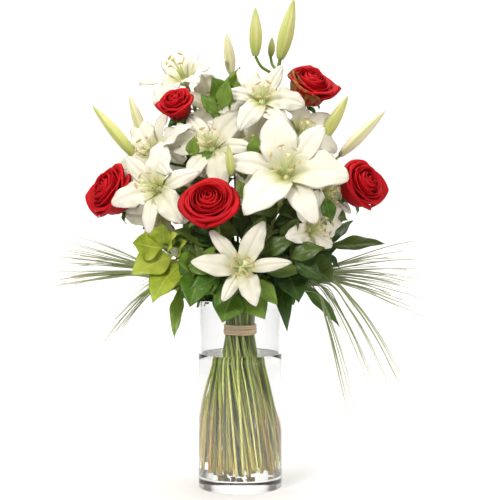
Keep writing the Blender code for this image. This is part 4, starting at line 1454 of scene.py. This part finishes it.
def leaf_outline(v, widest, fullness):
    """Half the width at a share of the length: a short stalk, an oval, a drawn-out tip."""
    if v < LEAF_STALK:
        return 0.045 + 0.10 * (v / LEAF_STALK) ** 3
    share = (v - LEAF_STALK) / (1 - LEAF_STALK)
    if share < widest:
        return 0.145 + 0.855 * math.sin(share / widest * math.pi / 2) ** fullness
    fall = (share - widest) / (1 - widest)
    return max(math.cos(fall * math.pi / 2) ** 1.1 * (1 - 0.10 * fall), 0.0)


print("outline of a leaf, every fifth of its length:",
      [round(leaf_outline(k / 5, 0.42, 1.0), 2) for k in range(6)])

# %% Leaf surface
def grown_leaf(line, normals, width, growth, draw):
    """surface(u, v) of a leaf along a line. normals turn smoothly from the first to the last."""
    widest, waviness, fullness = growth
    seed, cup = draw.uniform(0, 100), draw.uniform(0.10, 0.22)
    bend = draw.uniform(-0.05, 0.05)

    def surface(u, v):
        spot, way = line.point(v), line.direction(v)
        place = v * (len(normals) - 1)
        k = min(int(place), len(normals) - 2)
        normal = normals[k].lerp(normals[k + 1], place - k)
        normal = (normal - normal.dot(way) * way).normalized()
        side = way.cross(normal)
        half = width / 2 * leaf_outline(v, widest, fullness)
        fold = cup * half * (abs(u) ** 1.3 - 0.25)
        crease = -0.0007 * math.exp(-((u / 0.09) ** 2)) * math.sin(math.pi * v)
        wave = waviness * abs(u) ** 2 * math.sin(v * 17 + seed + (2.0 if u > 0 else 0.0))
        swell = noise.noise(Vector((u * 1.5 + seed, v * 3, 0))) * 0.0022 * math.sin(math.pi * v)
        quilt = 0.0004 * math.cos((v - abs(u) * 0.20) * math.tau * 9) * abs(u) * (1 - abs(u)) * 4
        lateral = u * half + bend * half * math.sin(math.pi * v)
        return spot + side * lateral + normal * (fold + crease + wave + swell + quilt)

    return surface


LEAF_THICK = 0.0007


def add_leaf(skin, line, normals, width, growth, draw, grid=(10, 26)):
    """Grows one leaf into a skin, with a tone of its own."""
    skin.sheet(grown_leaf(line, normals, width, growth, draw), *grid, LEAF_THICK, draw.random())


print("a leaf is", LEAF_THICK * 1000, "mm thick at its middle")

# %% Dress every leaf of the model
SLOT_OF = {entry["node"]: entry["material_slot"] for entry in frame["record"]["subparts"]}


def dress_leaves(skin, name, plant, slot, draw):
    """A finer leaf along each measured one."""
    for tip, rings in plant["leaves"]:
        root = stems[name].point(stems[name].nearest(leaf_root((tip, rings))))
        line = Line([root] + [ring[0] for ring in reversed(rings)] + [tip])
        normals = [ring[2] for ring in reversed(rings)]
        width = max(ring[1] for ring in rings) * 1.06
        add_leaf(skin, line, normals, width, LEAF_GROWTH[slot], draw, (12, 34))


def fill_leaves(skin, line, slot, count, span, size, draw):
    """More leaves between the measured ones. They shingle the outside of the bouquet."""
    for j in range(count):
        share = span[0] + (span[1] - span[0]) * (j + draw.uniform(0.2, 0.8)) / count
        root, way = line.point(share), line.direction(share)
        outward = Vector((root.x, root.y, 0)).normalized()
        outward = (outward + Vector((0, -0.5 if root.y < 0.02 else 0.3, 0.25))).normalized()
        sideways = way.cross(outward).normalized() * (1 if j % 2 else -1)
        fan = draw.uniform(-0.5, 0.6)
        growth = (sideways * math.cos(fan) + way * math.sin(fan) + outward * 0.42).normalized()
        length = size * draw.uniform(0.85, 1.2)
        bow = outward * length * 0.10
        midrib = Line([root, root + growth * length * 0.35 + bow,
                       root + growth * length * 0.70 + bow * 0.8,
                       root + growth * length - UP * length * 0.10])
        normals = [outward, (outward + UP * 0.15).normalized(), outward]
        width = length * draw.uniform(0.50, 0.62)
        add_leaf(skin, midrib, normals, width, LEAF_GROWTH[slot], draw)


# How many leaves to add, over which shares of the stem, and how long they are
FILLING = {
    "sprig_left_light": (12, (0.72, 0.99), 0.042), "sprig_front_left": (10, (0.72, 0.98), 0.042),
    "sprig_front": (8, (0.78, 0.97), 0.036), "sprig_right_dark": (14, (0.72, 0.99), 0.044),
    "sprig_right_low": (8, (0.78, 0.98), 0.036), "sprig_left_low": (7, (0.80, 0.98), 0.032),
    "sprig_right_long": (7, (0.80, 0.99), 0.038), "sprig_top": (8, (0.72, 0.97), 0.030),
    "sprig_back_left": (12, (0.74, 0.99), 0.042), "sprig_back_right": (12, (0.74, 0.99), 0.042),
}

for k, (name, plant) in enumerate(plants.items()):
    if plant["leaves"]:
        slot = SLOT_OF[name]
        skin = Skin()
        draw = random.Random(200 + k)
        dress_leaves(skin, name, plant, slot, draw)
        if name in FILLING:
            count, span, size = FILLING[name]
            fill_leaves(skin, stems[name], slot, count, span, size, draw)
        settle(skin.piece(name + "_leaves", leaf_skins[slot]), slot)

# %% [markdown]
# ## Leaves inside the bouquet
# Real bouquets have no see-through gaps: leaves on the flowers' own stems fill the dark inside, and
# a few small ones peep out between the petals. They could be scattered by a particle system, but
# then some would grow from nothing. Here each starts on a stem, or just behind a flower's base.

# %% Leaves deep in the bouquet
# The heights between which each stem carries hidden leaves, how many, and how long they are
DEEP = {
    "lily_stem_front": (0.258, 0.300, 12, 0.042), "lily_stem_right": (0.275, 0.385, 14, 0.050),
    "lily_stem_left": (0.275, 0.380, 9, 0.042), "lily_stem_top": (0.290, 0.460, 10, 0.042),
    "lily_stem_back": (0.300, 0.500, 12, 0.042), "rose_stem_front": (0.262, 0.350, 14, 0.046),
    "rose_stem_left": (0.285, 0.350, 5, 0.036), "rose_stem_right": (0.285, 0.365, 8, 0.042),
    "rose_stem_upper_left": (0.300, 0.460, 7, 0.034), "rose_stem_upper_right": (0.300, 0.480, 9, 0.038),
}
# These leaves take the darkest leaf colour as painted shade. They stand in for the shaded inside of the
# bouquet.
deep = Skin()
for k, (name, (low, high, count, size)) in enumerate(DEEP.items()):
    line = stems[name]
    span = (line.share_at(low), line.share_at(high))
    fill_leaves(deep, line, "leaf_dark", count, span, size, random.Random(640 + k))
settle(deep.piece("deep_leaves", leaf_skins["leaf_dark"]), "leaf_dark")

# %% Small leaves between the flowers, and dark ones behind the front lily as painted shade
ACCENTS = {"leaf_mid": [
    # neighbours, a step from their middle, the way the leaf grows, its length
    (("lily_left", "lily_left_upper"), (0.006, -0.006, 0.014), (0.2, -0.35, 1.0), 0.034),
    (("lily_left", "lily_left_upper"), (0.010, -0.004, 0.010), (0.9, -0.3, 0.5), 0.030),
    (("lily_left_upper", "lily_right_large"), (0.004, -0.014, 0.004), (0.1, -0.3, 1.0), 0.036),
    (("lily_left_upper", "lily_right_large"), (0.006, -0.010, 0.000), (0.9, -0.35, 0.4), 0.034),
    (("lily_left_upper", "lily_right_large"), (-0.006, -0.022, -0.020), (-0.1, -0.4, 1.0), 0.032),
    (("lily_left_upper", "lily_right_large"), (0.000, -0.028, -0.044), (0.5, -0.5, 0.8), 0.038),
    (("lily_left_upper", "lily_right_large"), (-0.002, -0.028, -0.046), (-0.4, -0.5, 0.9), 0.034),
    (("lily_top", "lily_left_upper"), (-0.020, -0.004, 0.020), (0.2, -0.4, 1.0), 0.044),
    (("lily_top", "lily_left_upper"), (-0.024, -0.002, 0.014), (-0.7, -0.4, 0.8), 0.038),
    (("lily_right_large", "lily_right_low"), (0.036, 0.006, 0.010), (0.2, -0.3, -1.0), 0.038),
    (("lily_front",), (-0.020, 0.012, -0.006), (-1.0, -0.25, -0.55), 0.056),
    (("lily_front",), (-0.024, 0.016, 0.004), (-1.0, -0.2, -0.10), 0.050),
    (("lily_front",), (-0.012, 0.010, -0.012), (-0.6, -0.3, -1.0), 0.044),
    (("lily_front",), (0.016, 0.012, -0.012), (0.8, -0.3, -0.9), 0.046),
    (("lily_left", "lily_front"), (-0.008, 0.036, -0.012), (-0.9, -0.1, -0.2), 0.042),
    (("lily_left", "lily_front"), (-0.010, 0.026, -0.026), (-0.3, -0.15, -1.0), 0.046),
], "leaf_dark": [
    # Dark leaves set into the gaps behind the front lily, where the bouquet lies in deep shade: painted
    # shade.
    (("lily_left", "lily_front"), (-0.010, 0.020, -0.012), (0.2, -0.2, -1.0), 0.046),
    (("lily_front",), (0.000, 0.046, 0.032), (-0.05, -0.1, 1.0), 0.050),
    (("lily_front",), (0.010, 0.044, 0.038), (0.4, -0.1, 1.0), 0.046),
    (("lily_front",), (-0.014, 0.046, 0.028), (-0.4, -0.1, 1.0), 0.044),
    (("lily_front",), (0.022, 0.014, 0.004), (1.0, -0.2, -0.15), 0.056),
    (("lily_front",), (0.022, 0.012, 0.016), (0.9, -0.2, 0.45), 0.052),
    (("lily_front",), (0.014, 0.016, 0.024), (0.35, -0.2, 1.0), 0.048),
    (("lily_front", "lily_right_low"), (0.006, 0.000, 0.004), (0.6, -0.2, 0.9), 0.046),
    (("lily_front", "lily_right_low"), (0.016, -0.006, -0.010), (1.0, -0.3, 0.3), 0.050),
    (("lily_front", "lily_right_low"), (0.022, -0.004, -0.014), (0.9, -0.3, -0.5), 0.048),
]}
for slot, piece_name in (("leaf_mid", "small_leaves"), ("leaf_dark", "dark_leaves")):
    accents = Skin()
    draw = random.Random(660)
    for neighbours, step, growth, length in ACCENTS[slot]:
        root = middle([lilies[name]["base"] for name in neighbours]) + Vector(step)
        growth = Vector(growth).normalized()
        facing = (Vector((0, -1, 0.3)) + growth * 0.1).normalized()
        places = [root + growth * length * share + facing * 0.10 * length * math.sin(math.pi * share)
                  for share in (0, 0.35, 0.7, 1.0)]
        normals = [facing, (facing + UP * 0.2).normalized(), facing]
        add_leaf(accents, Line(places), normals, length * 0.52, LEAF_GROWTH[slot], draw)
    settle(accents.piece(piece_name, leaf_skins[slot]), slot)

# %% [markdown]
# ## Sepals and hip
# Below a rose sits a small green urn, the hip, and five narrow sepals that once wrapped the bud
# and now curl away from it. Sepals could have a surface of their own, but they are small leaves, so
# the leaf surface makes them too.

# %% Add hips and sepals
SEPALS, SEPAL_WIDTH, SEPAL_GROWTH = 5, 0.0100, (0.30, 0.0006, 0.9)


def hip_radius(share):
    return 0.0030 + 0.0028 * math.sin(math.pi * (0.1 + 0.8 * share))


def sepal_line(base, frame_axes, angle, radius):
    """The midrib of a sepal, and its direction away from the axis."""
    side, around, axis = frame_axes
    outward = math.cos(angle) * side + math.sin(angle) * around
    places = [(0.0035, 0.0005), (radius * 0.42, 0.0015), (radius * 0.72, -0.0005),
              (radius * 0.86, -0.0080)]
    return Line([base + outward * r + axis * h for r, h in places]), outward


for k, rose in enumerate(rose_names):
    draw = random.Random(600 + k)
    base, axis, radius, _ = measure_rose(rose)
    axes = rose_frame(axis)
    skin = Skin()
    hip = Line([base - axis * 0.007, base - axis * 0.002, base + axis * 0.005])
    skin.tube(hip, hip_radius, 18, 14, 0.4)
    for j in range(SEPALS):
        angle = math.tau * j / SEPALS + draw.uniform(-0.2, 0.2)
        line, outward = sepal_line(base, axes, angle, radius)
        normals = [-axis, -axis, -(axis * 0.4 + outward).normalized()]
        sepal = grown_leaf(line, normals, SEPAL_WIDTH, SEPAL_GROWTH, draw)
        skin.sheet(sepal, 8, 20, 0.0006, draw.random())
    settle(skin.piece(rose + "_sepals", leaf_skins["leaf_mid"]), "leaf_mid")

# %% [markdown]
# ## Bear grass
# Each tuft is a bunch of long, narrow, stiff blades, folded along the middle. They stand together
# from the vase floor up through the tie, then fan out and bend under their own weight. Hair curves
# could make them, but they would have no fold. The model gives a sheath and a few blades. Here each
# of those is followed by a real blade for its whole length, and more blades are added between
# neighbours, because the real fan is fuller.

# %% Grass material
def grass_material():
    recipe = Recipe("bear_grass", 0.42, Specular_IOR_Level=0.4)
    _, v = recipe.place()
    lines = recipe.noise(recipe.lengthwise(12, 14.0), 1.0, 2.0)
    body = recipe.ramp(v, [
        (0.00, (0.36, 0.33, 0.14)), (0.32, (0.23, 0.28, 0.085)), (0.60, (0.19, 0.25, 0.105)),
        (0.90, (0.30, 0.34, 0.18)), (1.00, (0.44, 0.38, 0.22)),
    ])
    pale = recipe.mix(recipe.spread(recipe.tone(), 0.4, 1.0, 0.0, 0.45), body, (0.50, 0.54, 0.34))
    recipe.colour(recipe.mix(recipe.spread(lines, 0.4, 0.7, 0.0, 0.35), pale, (0.12, 0.17, 0.05)))
    recipe.relief(lines, 0.3, 0.0003)
    return recipe.material


grass_skin = grass_material()
print(grass_skin.name, len(grass_skin.node_tree.nodes), "nodes")

# %% Where the blades go
BETWEEN = 4  # blades added between each pair of measured neighbours
BLADE_WANDER = 0.009


def blade_routes(plant, draw):
    """The measured blades, and added ones between each pair of neighbours."""
    measured = [list(reversed(blade)) for blade in plant["blades"]]
    centre = middle([route[-1] for route in measured])
    spread = max(measured, key=lambda r: (r[-1] - centre).length)[-1] - centre
    measured.sort(key=lambda route: (route[-1] - centre).dot(spread))
    routes = list(measured)
    for one, two in zip(measured, measured[1:]):
        for _ in range(BETWEEN):
            share, reach = draw.uniform(0.1, 0.9), draw.uniform(0.72, 1.0)
            wander = Vector([draw.uniform(-1, 1) for _ in "xyz"]) * BLADE_WANDER
            route = [a.lerp(b, share) + wander * k / 4 for k, (a, b) in enumerate(zip(one, two))]
            start, sag = route[0], draw.uniform(-0.004, 0.014)
            route = [start + (spot - start) * reach for spot in route]
            routes.append([spot - UP * sag * (k / 4) ** 2.5 for k, spot in enumerate(route)])
    return routes


print("the left tuft has", len(blade_routes(plants["bear_grass_left"], random.Random(0))), "blades")

# %% Grow the grass
def folded(angle, share):
    """A blade is folded along its middle, so its section is narrow."""
    return 1.0 - 0.40 * abs(math.sin(angle))


def grow_grass(name, plant, seed):
    """Every blade of a tuft, from the vase floor to its tip."""
    draw = random.Random(seed)
    skin = Skin()
    routes = blade_routes(plant, draw)
    sheath = plant["foot"]
    for k, route in enumerate(routes):
        angle, spread = k * GOLDEN_ANGLE, plant["girth"] * math.sqrt((k + 0.5) / len(routes))
        offset = Vector((math.cos(angle), math.sin(angle), 0)) * spread
        bundle = [spot + offset * (1 - 0.5 * j / len(sheath)) for j, spot in enumerate(sheath[:7])]
        whole = Line(bundle + route)
        wide = draw.uniform(0.0010, 0.0016)

        def width(share, wide=wide):
            return wide * (1 - 0.70 * max(share - 0.60, 0) / 0.40)

        tone, first_side = draw.random(), Vector((1, draw.uniform(-0.5, 0.5), 0.3))
        skin.tube(whole, width, 6, 64, tone, folded, first_side)
    return skin.piece(name + "_blades", grass_skin)


for k, name in enumerate(n for n in node_names if n.startswith("bear")):
    settle(grow_grass(name, plants[name], 300 + k), "grass", name)

# %% [markdown]
# ## The raffia tie
# Raffia is a flat, papery strip of palm leaf. The florist winds it round the stems many times and
# knots it at the back. A torus would look like a rubber ring, so one long strip is wound in a
# tight helix with a little wander, then knotted with two short ends.

# %% Raffia material
def raffia_material():
    recipe = Recipe("raffia_strip", 0.62, Specular_IOR_Level=0.3)
    fibre = recipe.noise(recipe.lengthwise(26, 60.0), 1.0, 3.0)
    tint = recipe.mix(recipe.tone(), (0.74, 0.54, 0.33), (0.86, 0.70, 0.47))
    recipe.colour(recipe.mix(recipe.spread(fibre, 0.35, 0.7, 0.0, 0.50), tint, (0.44, 0.29, 0.15)))
    recipe.relief(fibre, 0.6, 0.0004)
    return recipe.material


raffia_skin = raffia_material()
print("the tie is", round((tie_high.z - tie_low.z) * 1000, 1), "mm wide and",
      round(tie_outer * 2000, 1), "mm across")

# %% Where the strip runs
TURNS, TURN_STEPS = 7, 24
STRIP = 0.0016  # half its width


def wound_strip():
    """The middle of the strip as it winds up and back down round the stems."""
    half = (tie_high.z - tie_low.z) / 2 - STRIP * 0.8
    places = []
    for k in range(TURNS * TURN_STEPS + 1):
        share = k / (TURNS * TURN_STEPS)
        angle = share * TURNS * math.tau
        level = half * math.sin((share * 2.5 - 0.5) * math.pi) * 0.96
        wander = noise.noise(Vector((math.cos(angle), math.sin(angle), share * 9)))
        radius = tie_outer - 0.0016 + 0.0011 * share + wander * 0.0003
        height = tie_middle.z + level + wander * 0.0009
        places.append(Vector((radius * math.cos(angle), radius * math.sin(angle), height)))
    return places


strip_places = wound_strip()
print("the strip is", round(Line(strip_places).length * 1000), "mm long")

# %% Wind and knot the tie
FLATNESS = 0.28  # thickness of the strip against its width


def flat_strip(angle, share):
    """A flat oval section."""
    return 1 / math.hypot(math.cos(angle), math.sin(angle) / FLATNESS)


winding = Skin()
for k in range(TURNS):
    part = strip_places[k * TURN_STEPS:(k + 1) * TURN_STEPS + 1]
    tone = random.Random(400 + k).random()
    winding.tube(Line(part), lambda share: STRIP, 10, 96, tone, flat_strip, UP)
back = Vector((0, tie_outer, tie_middle.z))
for side in (-1, 1):
    steps = [(0, 0, 0), (0.006, 0.0045, 0.002), (0.015, 0.007, -0.010), (0.019, 0.006, -0.024)]
    end = Line([back + Vector((side * x, y, z)) for x, y, z in steps])
    narrowing = lambda share: STRIP * (1 - 0.5 * share**4)
    winding.tube(end, narrowing, 10, 24, 0.5, flat_strip, Vector((0, 1, 0)))
loop = [math.tau * k / 12 for k in range(13)]
knot = [back + Vector((0.0035 * math.cos(a), 0.0016 + 0.0006 * math.cos(a), 0.0035 * math.sin(a)))
        for a in loop]
winding.tube(Line(knot), lambda share: STRIP * 1.1, 10, 36, 0.7)
settle(winding.piece("raffia_winding", raffia_skin), "raffia", "raffia_tie")

# %% [markdown]
# ## The glass vase
# A blown cylinder with a heavy base: the wall is thin, the floor is thick and works as a lens, the
# heel is rounded and the rim is fire-polished. Its outline is turned round the axis with enough
# sides to be smooth at any size. Cycles' glass stops lamps' light, which would leave the stems in
# the dark, so shadow rays pass through as if it were clear: the usual trick for clean still glass.
# The glass's colour is painted greyer towards and above the waterline: painted shade that makes the
# empty part of the vase readable in front of white. Low down it is painted lighter, as painted light
# that keeps the thick base from looking dark in the shadow under the bouquet.

# %% Glass and water materials
GREY_RISE = (-0.11, 0.004)  # where the painted grey starts and where it is full, from the water's surface


def clear_material(name, lower_tint, upper_tint, ior, scratch):
    """Lighter low down, as painted light, and greyer further up, as painted shade."""
    recipe = Recipe(name, 0.0, Transmission_Weight=1.0, IOR=ior)
    greying = recipe.spread(recipe.where()[2], water_top + GREY_RISE[0], water_top + GREY_RISE[1])
    recipe.colour(recipe.mix(greying, lower_tint, upper_tint))
    smear = recipe.noise(recipe.metres((1, 1, 0.25)), 38.0, 4.0)
    recipe.rough(recipe.spread(smear, 0.55, 0.80, 0.0, scratch))
    ripple = recipe.noise(recipe.metres((1, 1, 0.2)), 16.0, 1.0)
    recipe.relief(ripple, 0.03, 0.0005)
    passing = recipe.node("ShaderNodeLightPath").outputs["Is Shadow Ray"]
    clear = recipe.node("ShaderNodeBsdfTransparent", {"Color": (*(c * 0.97 for c in lower_tint), 1)})
    recipe.blend_shader(passing, clear)
    return recipe.material


# The glass is painted lighter low down and greyer above; the water's tint is the same everywhere.
LOWER_GLASS_TINT, UPPER_GLASS_TINT, PURE_WATER = (0.958, 0.964, 0.968), (0.915, 0.923, 0.932), (0.985, 0.992, 0.985)
vase_glass = clear_material("vase_glass", LOWER_GLASS_TINT, UPPER_GLASS_TINT, 1.50, 0.006)
still_water = clear_material("still_water", PURE_WATER, PURE_WATER, 1.33, 0.0)
print("clear materials", vase_glass.name, still_water.name)

# %% Measure the vase
def outline_of(node):
    """Every (distance from the axis, height) in a turned node's mesh, without repeats."""
    corners = [corner.co for corner in frame["nodes"][node].data.vertices]
    return {(round(math.hypot(c.x, c.y), 4), round(c.z, 4)) for c in corners}


vase_outline = outline_of("vase")
outer = max(r for r, _ in vase_outline)
rim_top = max(h for _, h in vase_outline)
floor_top = min(h for r, h in vase_outline if r < outer * 0.85 and h > 0.002)
inner = max(r for r, h in vase_outline if floor_top < h < rim_top - 0.01 and r < outer - 0.001)
print("vase", round(outer * 2000), "mm across,", round(rim_top * 1000), "mm high, wall",
      round((outer - inner) * 1000, 1), "mm, floor", round(floor_top * 1000, 1), "mm")

# %% Lines of an outline
def rounded(centre, radius, start, end, steps):
    """Places on an arc in the turning plane, angles in degrees."""
    found = []
    for k in range(steps + 1):
        angle = math.radians(start + (end - start) * k / steps)
        found.append((centre[0] + radius * math.cos(angle), centre[1] + radius * math.sin(angle)))
    return found


def smooth_sides(low, high, steps):
    """The places between two ends of a straight side, without the ends."""
    return [(low[0] + (high[0] - low[0]) * k / steps, low[1] + (high[1] - low[1]) * k / steps)
            for k in range(1, steps)]


print("a quarter circle:", [(round(r, 2), round(h, 2)) for r, h in rounded((0, 0), 1, 0, 90, 3)])

# %% Build the vase
HEEL, INNER_HEEL, SIDES = 0.0032, 0.0018, 160
lip = (outer - inner) / 2
vase_profile = [(0, 0.0012), (outer * 0.45, 0.0009), (outer * 0.72, 0.0)]
vase_profile += rounded((outer - HEEL, HEEL), HEEL, -90, 0, 12)
vase_profile += smooth_sides((outer, HEEL), (outer, rim_top - lip), 24)
vase_profile += rounded((outer - lip, rim_top - lip), lip, 0, 180, 12)
vase_profile += smooth_sides((inner, rim_top - lip), (inner, floor_top + INNER_HEEL), 24)
vase_profile += rounded((inner - INNER_HEEL, floor_top + INNER_HEEL), INNER_HEEL, 0, -90, 8)
vase_profile += [(inner * 0.6, floor_top - 0.0004), (0, floor_top - 0.0008)]
glass = Skin()
glass.turned(vase_profile, SIDES)
settle(glass.piece("glass_vase", vase_glass), "clear_glass", "vase")

# %% Fill it with water
# The water reaches a little into the glass, so that no film of air shines between them. It climbs
# the wall by the height of its meniscus, which fades within a millimetre.
MENISCUS, FADES_IN, INTO_GLASS = 0.0003, 0.0010, 0.0004
fill = inner + INTO_GLASS
top_profile = []
for k in range(9):
    away = 0.012 * (1 - k / 8) ** 1.5
    top_profile.append((fill - away, water_top + MENISCUS * math.exp(-away / FADES_IN)))
water_profile = [(0, floor_top - 0.0005), (inner * 0.6, floor_top - 0.0001)]
water_profile += rounded((fill - INNER_HEEL, floor_top + INNER_HEEL + 0.00012), INNER_HEEL, -90, 0, 8)
water_profile += smooth_sides((fill, floor_top + INNER_HEEL), (fill, water_top + MENISCUS), 16)
water_profile += list(reversed(top_profile))
water_profile += [(inner * 0.5, water_top), (0, water_top)]
pool = Skin()
pool.turned(water_profile, SIDES)
settle(pool.piece("vase_water", still_water), "water", "water")

# %% [markdown]
# ## Stage, camera and light
# The bouquet stands on a plain white sweep: a floor that curves up into a wall, so no horizon
# shows. One large soft light from the front left models the petals, a weaker one fills the right,
# one overhead lifts the top, and one on the wall behind keeps the ground white and lets light
# through the petals and the glass. The camera is far away with a long lens, which keeps the vase's
# sides parallel, and looks slightly down. One could leave the paper white all over, but glass is a
# mirror too: bright paper in front and beside it would lie over the stems like a veil. So the paper
# turns grey outside the camera's view, and the room is darkest near the horizon.

# %% The sweep
def paper_material(name, white, grey):
    """White paper round the vase, greyer where it runs out to the front and to the sides."""
    recipe = Recipe(name, 0.8)
    x, y, _ = recipe.where()
    front = recipe.spread(y, -0.50, -1.10)
    aside = recipe.maths("SUBTRACT", recipe.maths("ABSOLUTE", x), recipe.product(y, 0.35))
    sides = recipe.spread(aside, 0.50, 1.10)
    cloud = recipe.spread(recipe.noise(recipe.metres(), 3.0), 0.3, 0.7, 0.0, 0.02)
    away = recipe.maths("MAXIMUM", recipe.maths("MAXIMUM", front, sides), cloud)
    recipe.colour(recipe.mix(away, white, grey))
    return recipe.material


FRONT, BEND_START, BEND, TOP, HALF_WIDTH = -4.5, 2.2, 1.2, 4.0, 4.0
BEND_STEPS, GAP = 24, 0.0002  # the paper lies a hair below the glass
sweep_profile = [(FRONT, 0.0), (BEND_START, 0.0)]
for k in range(1, BEND_STEPS + 1):
    angle = math.pi / 2 * k / BEND_STEPS
    sweep_profile.append((BEND_START + BEND * math.sin(angle), BEND - BEND * math.cos(angle)))
sweep_profile.append((BEND_START + BEND, TOP))
sweep_points = [(x, y, z - GAP) for y, z in sweep_profile for x in (-HALF_WIDTH, HALF_WIDTH)]
sweep_faces = [(2 * k, 2 * k + 1, 2 * k + 3, 2 * k + 2) for k in range(len(sweep_profile) - 1)]
sweep_mesh = bpy.data.meshes.new("white_sweep")
sweep_mesh.from_pydata(sweep_points, [], sweep_faces)
sweep_mesh.shade_smooth()
sweep_mesh.materials.append(paper_material("white_paper", (0.89, 0.89, 0.89), (0.20, 0.195, 0.185)))
sweep = add_object("white_sweep", sweep_mesh)
print("sweep with", len(sweep_faces), "strips")

# %% Camera
def look_from(thing, place, target):
    """Puts a camera or a lamp at a place and turns it to a target."""
    thing.location = place
    thing.rotation_euler = (Vector(target) - Vector(place)).to_track_quat("-Z", "Y").to_euler()


TARGET = Vector((0.013, 0.0, 0.3135))
DISTANCE, ELEVATION, VIEW_WIDTH = 2.2, math.radians(4), 0.655
camera = add_object("camera", bpy.data.cameras.new("camera"))
backwards = Vector((0, -math.cos(ELEVATION), math.sin(ELEVATION)))
look_from(camera, TARGET + backwards * DISTANCE, TARGET)
camera.data.lens = camera.data.sensor_width * DISTANCE / VIEW_WIDTH
bpy.context.scene.camera = camera
print("camera", tuple(round(c, 2) for c in camera.location), "lens", round(camera.data.lens), "mm")

# %% Lights
def soft_light(name, place, target, size, power, colour):
    """A rectangular area lamp."""
    lamp = bpy.data.lights.new(name, "AREA")
    lamp.shape = "RECTANGLE"
    lamp.size, lamp.size_y = size
    lamp.energy, lamp.color = power, colour
    look_from(add_object(name, lamp), place, target)


HEART = (0, 0, 0.35)
LAMPS = {
    # where it stands, what it faces, width and height, watts, colour
    "key": ((-1.5, -2.0, 1.9), HEART, (0.9, 0.9), 62, (1.0, 0.97, 0.93)),
    "fill": ((1.9, -1.7, 0.9), HEART, (1.0, 1.0), 20, (1.0, 0.98, 0.95)),
    "top": ((0.15, 0.20, 2.4), (0.1, 0.2, 0), (1.8, 1.8), 42, (1, 1, 1)),
    "wall": ((0.0, 1.5, 1.9), (0, 3.4, 0.6), (3.0, 1.0), 24, (1, 1, 1)),
}
for name, settings in LAMPS.items():
    soft_light(name, *settings)
print("lamps", [(lamp.name, lamp.energy) for lamp in bpy.data.lights])

# %% The room
HORIZON, CEILING = (0.24, 0.228, 0.208), (0.62, 0.59, 0.545)
world = bpy.data.worlds.new("white_room")
world.use_nodes = True
sky = world.node_tree
upwards = sky.nodes.new("ShaderNodeSeparateXYZ")
sky.links.new(sky.nodes.new("ShaderNodeTexCoord").outputs["Generated"], upwards.inputs[0])
fade = sky.nodes.new("ShaderNodeValToRGB")
sky.links.new(upwards.outputs[2], fade.inputs["Fac"])
for element, position, colour in zip(fade.color_ramp.elements, (0.02, 0.45), (HORIZON, CEILING)):
    element.position, element.color = position, (*colour, 1)
sky.links.new(fade.outputs["Color"], sky.nodes["Background"].inputs["Color"])
sky.nodes["Background"].inputs["Strength"].default_value = 1.0
bpy.context.scene.world = world
bpy.context.scene.view_settings.view_transform = "Standard"
print("the room goes from", HORIZON, "at the horizon to", CEILING, "overhead")
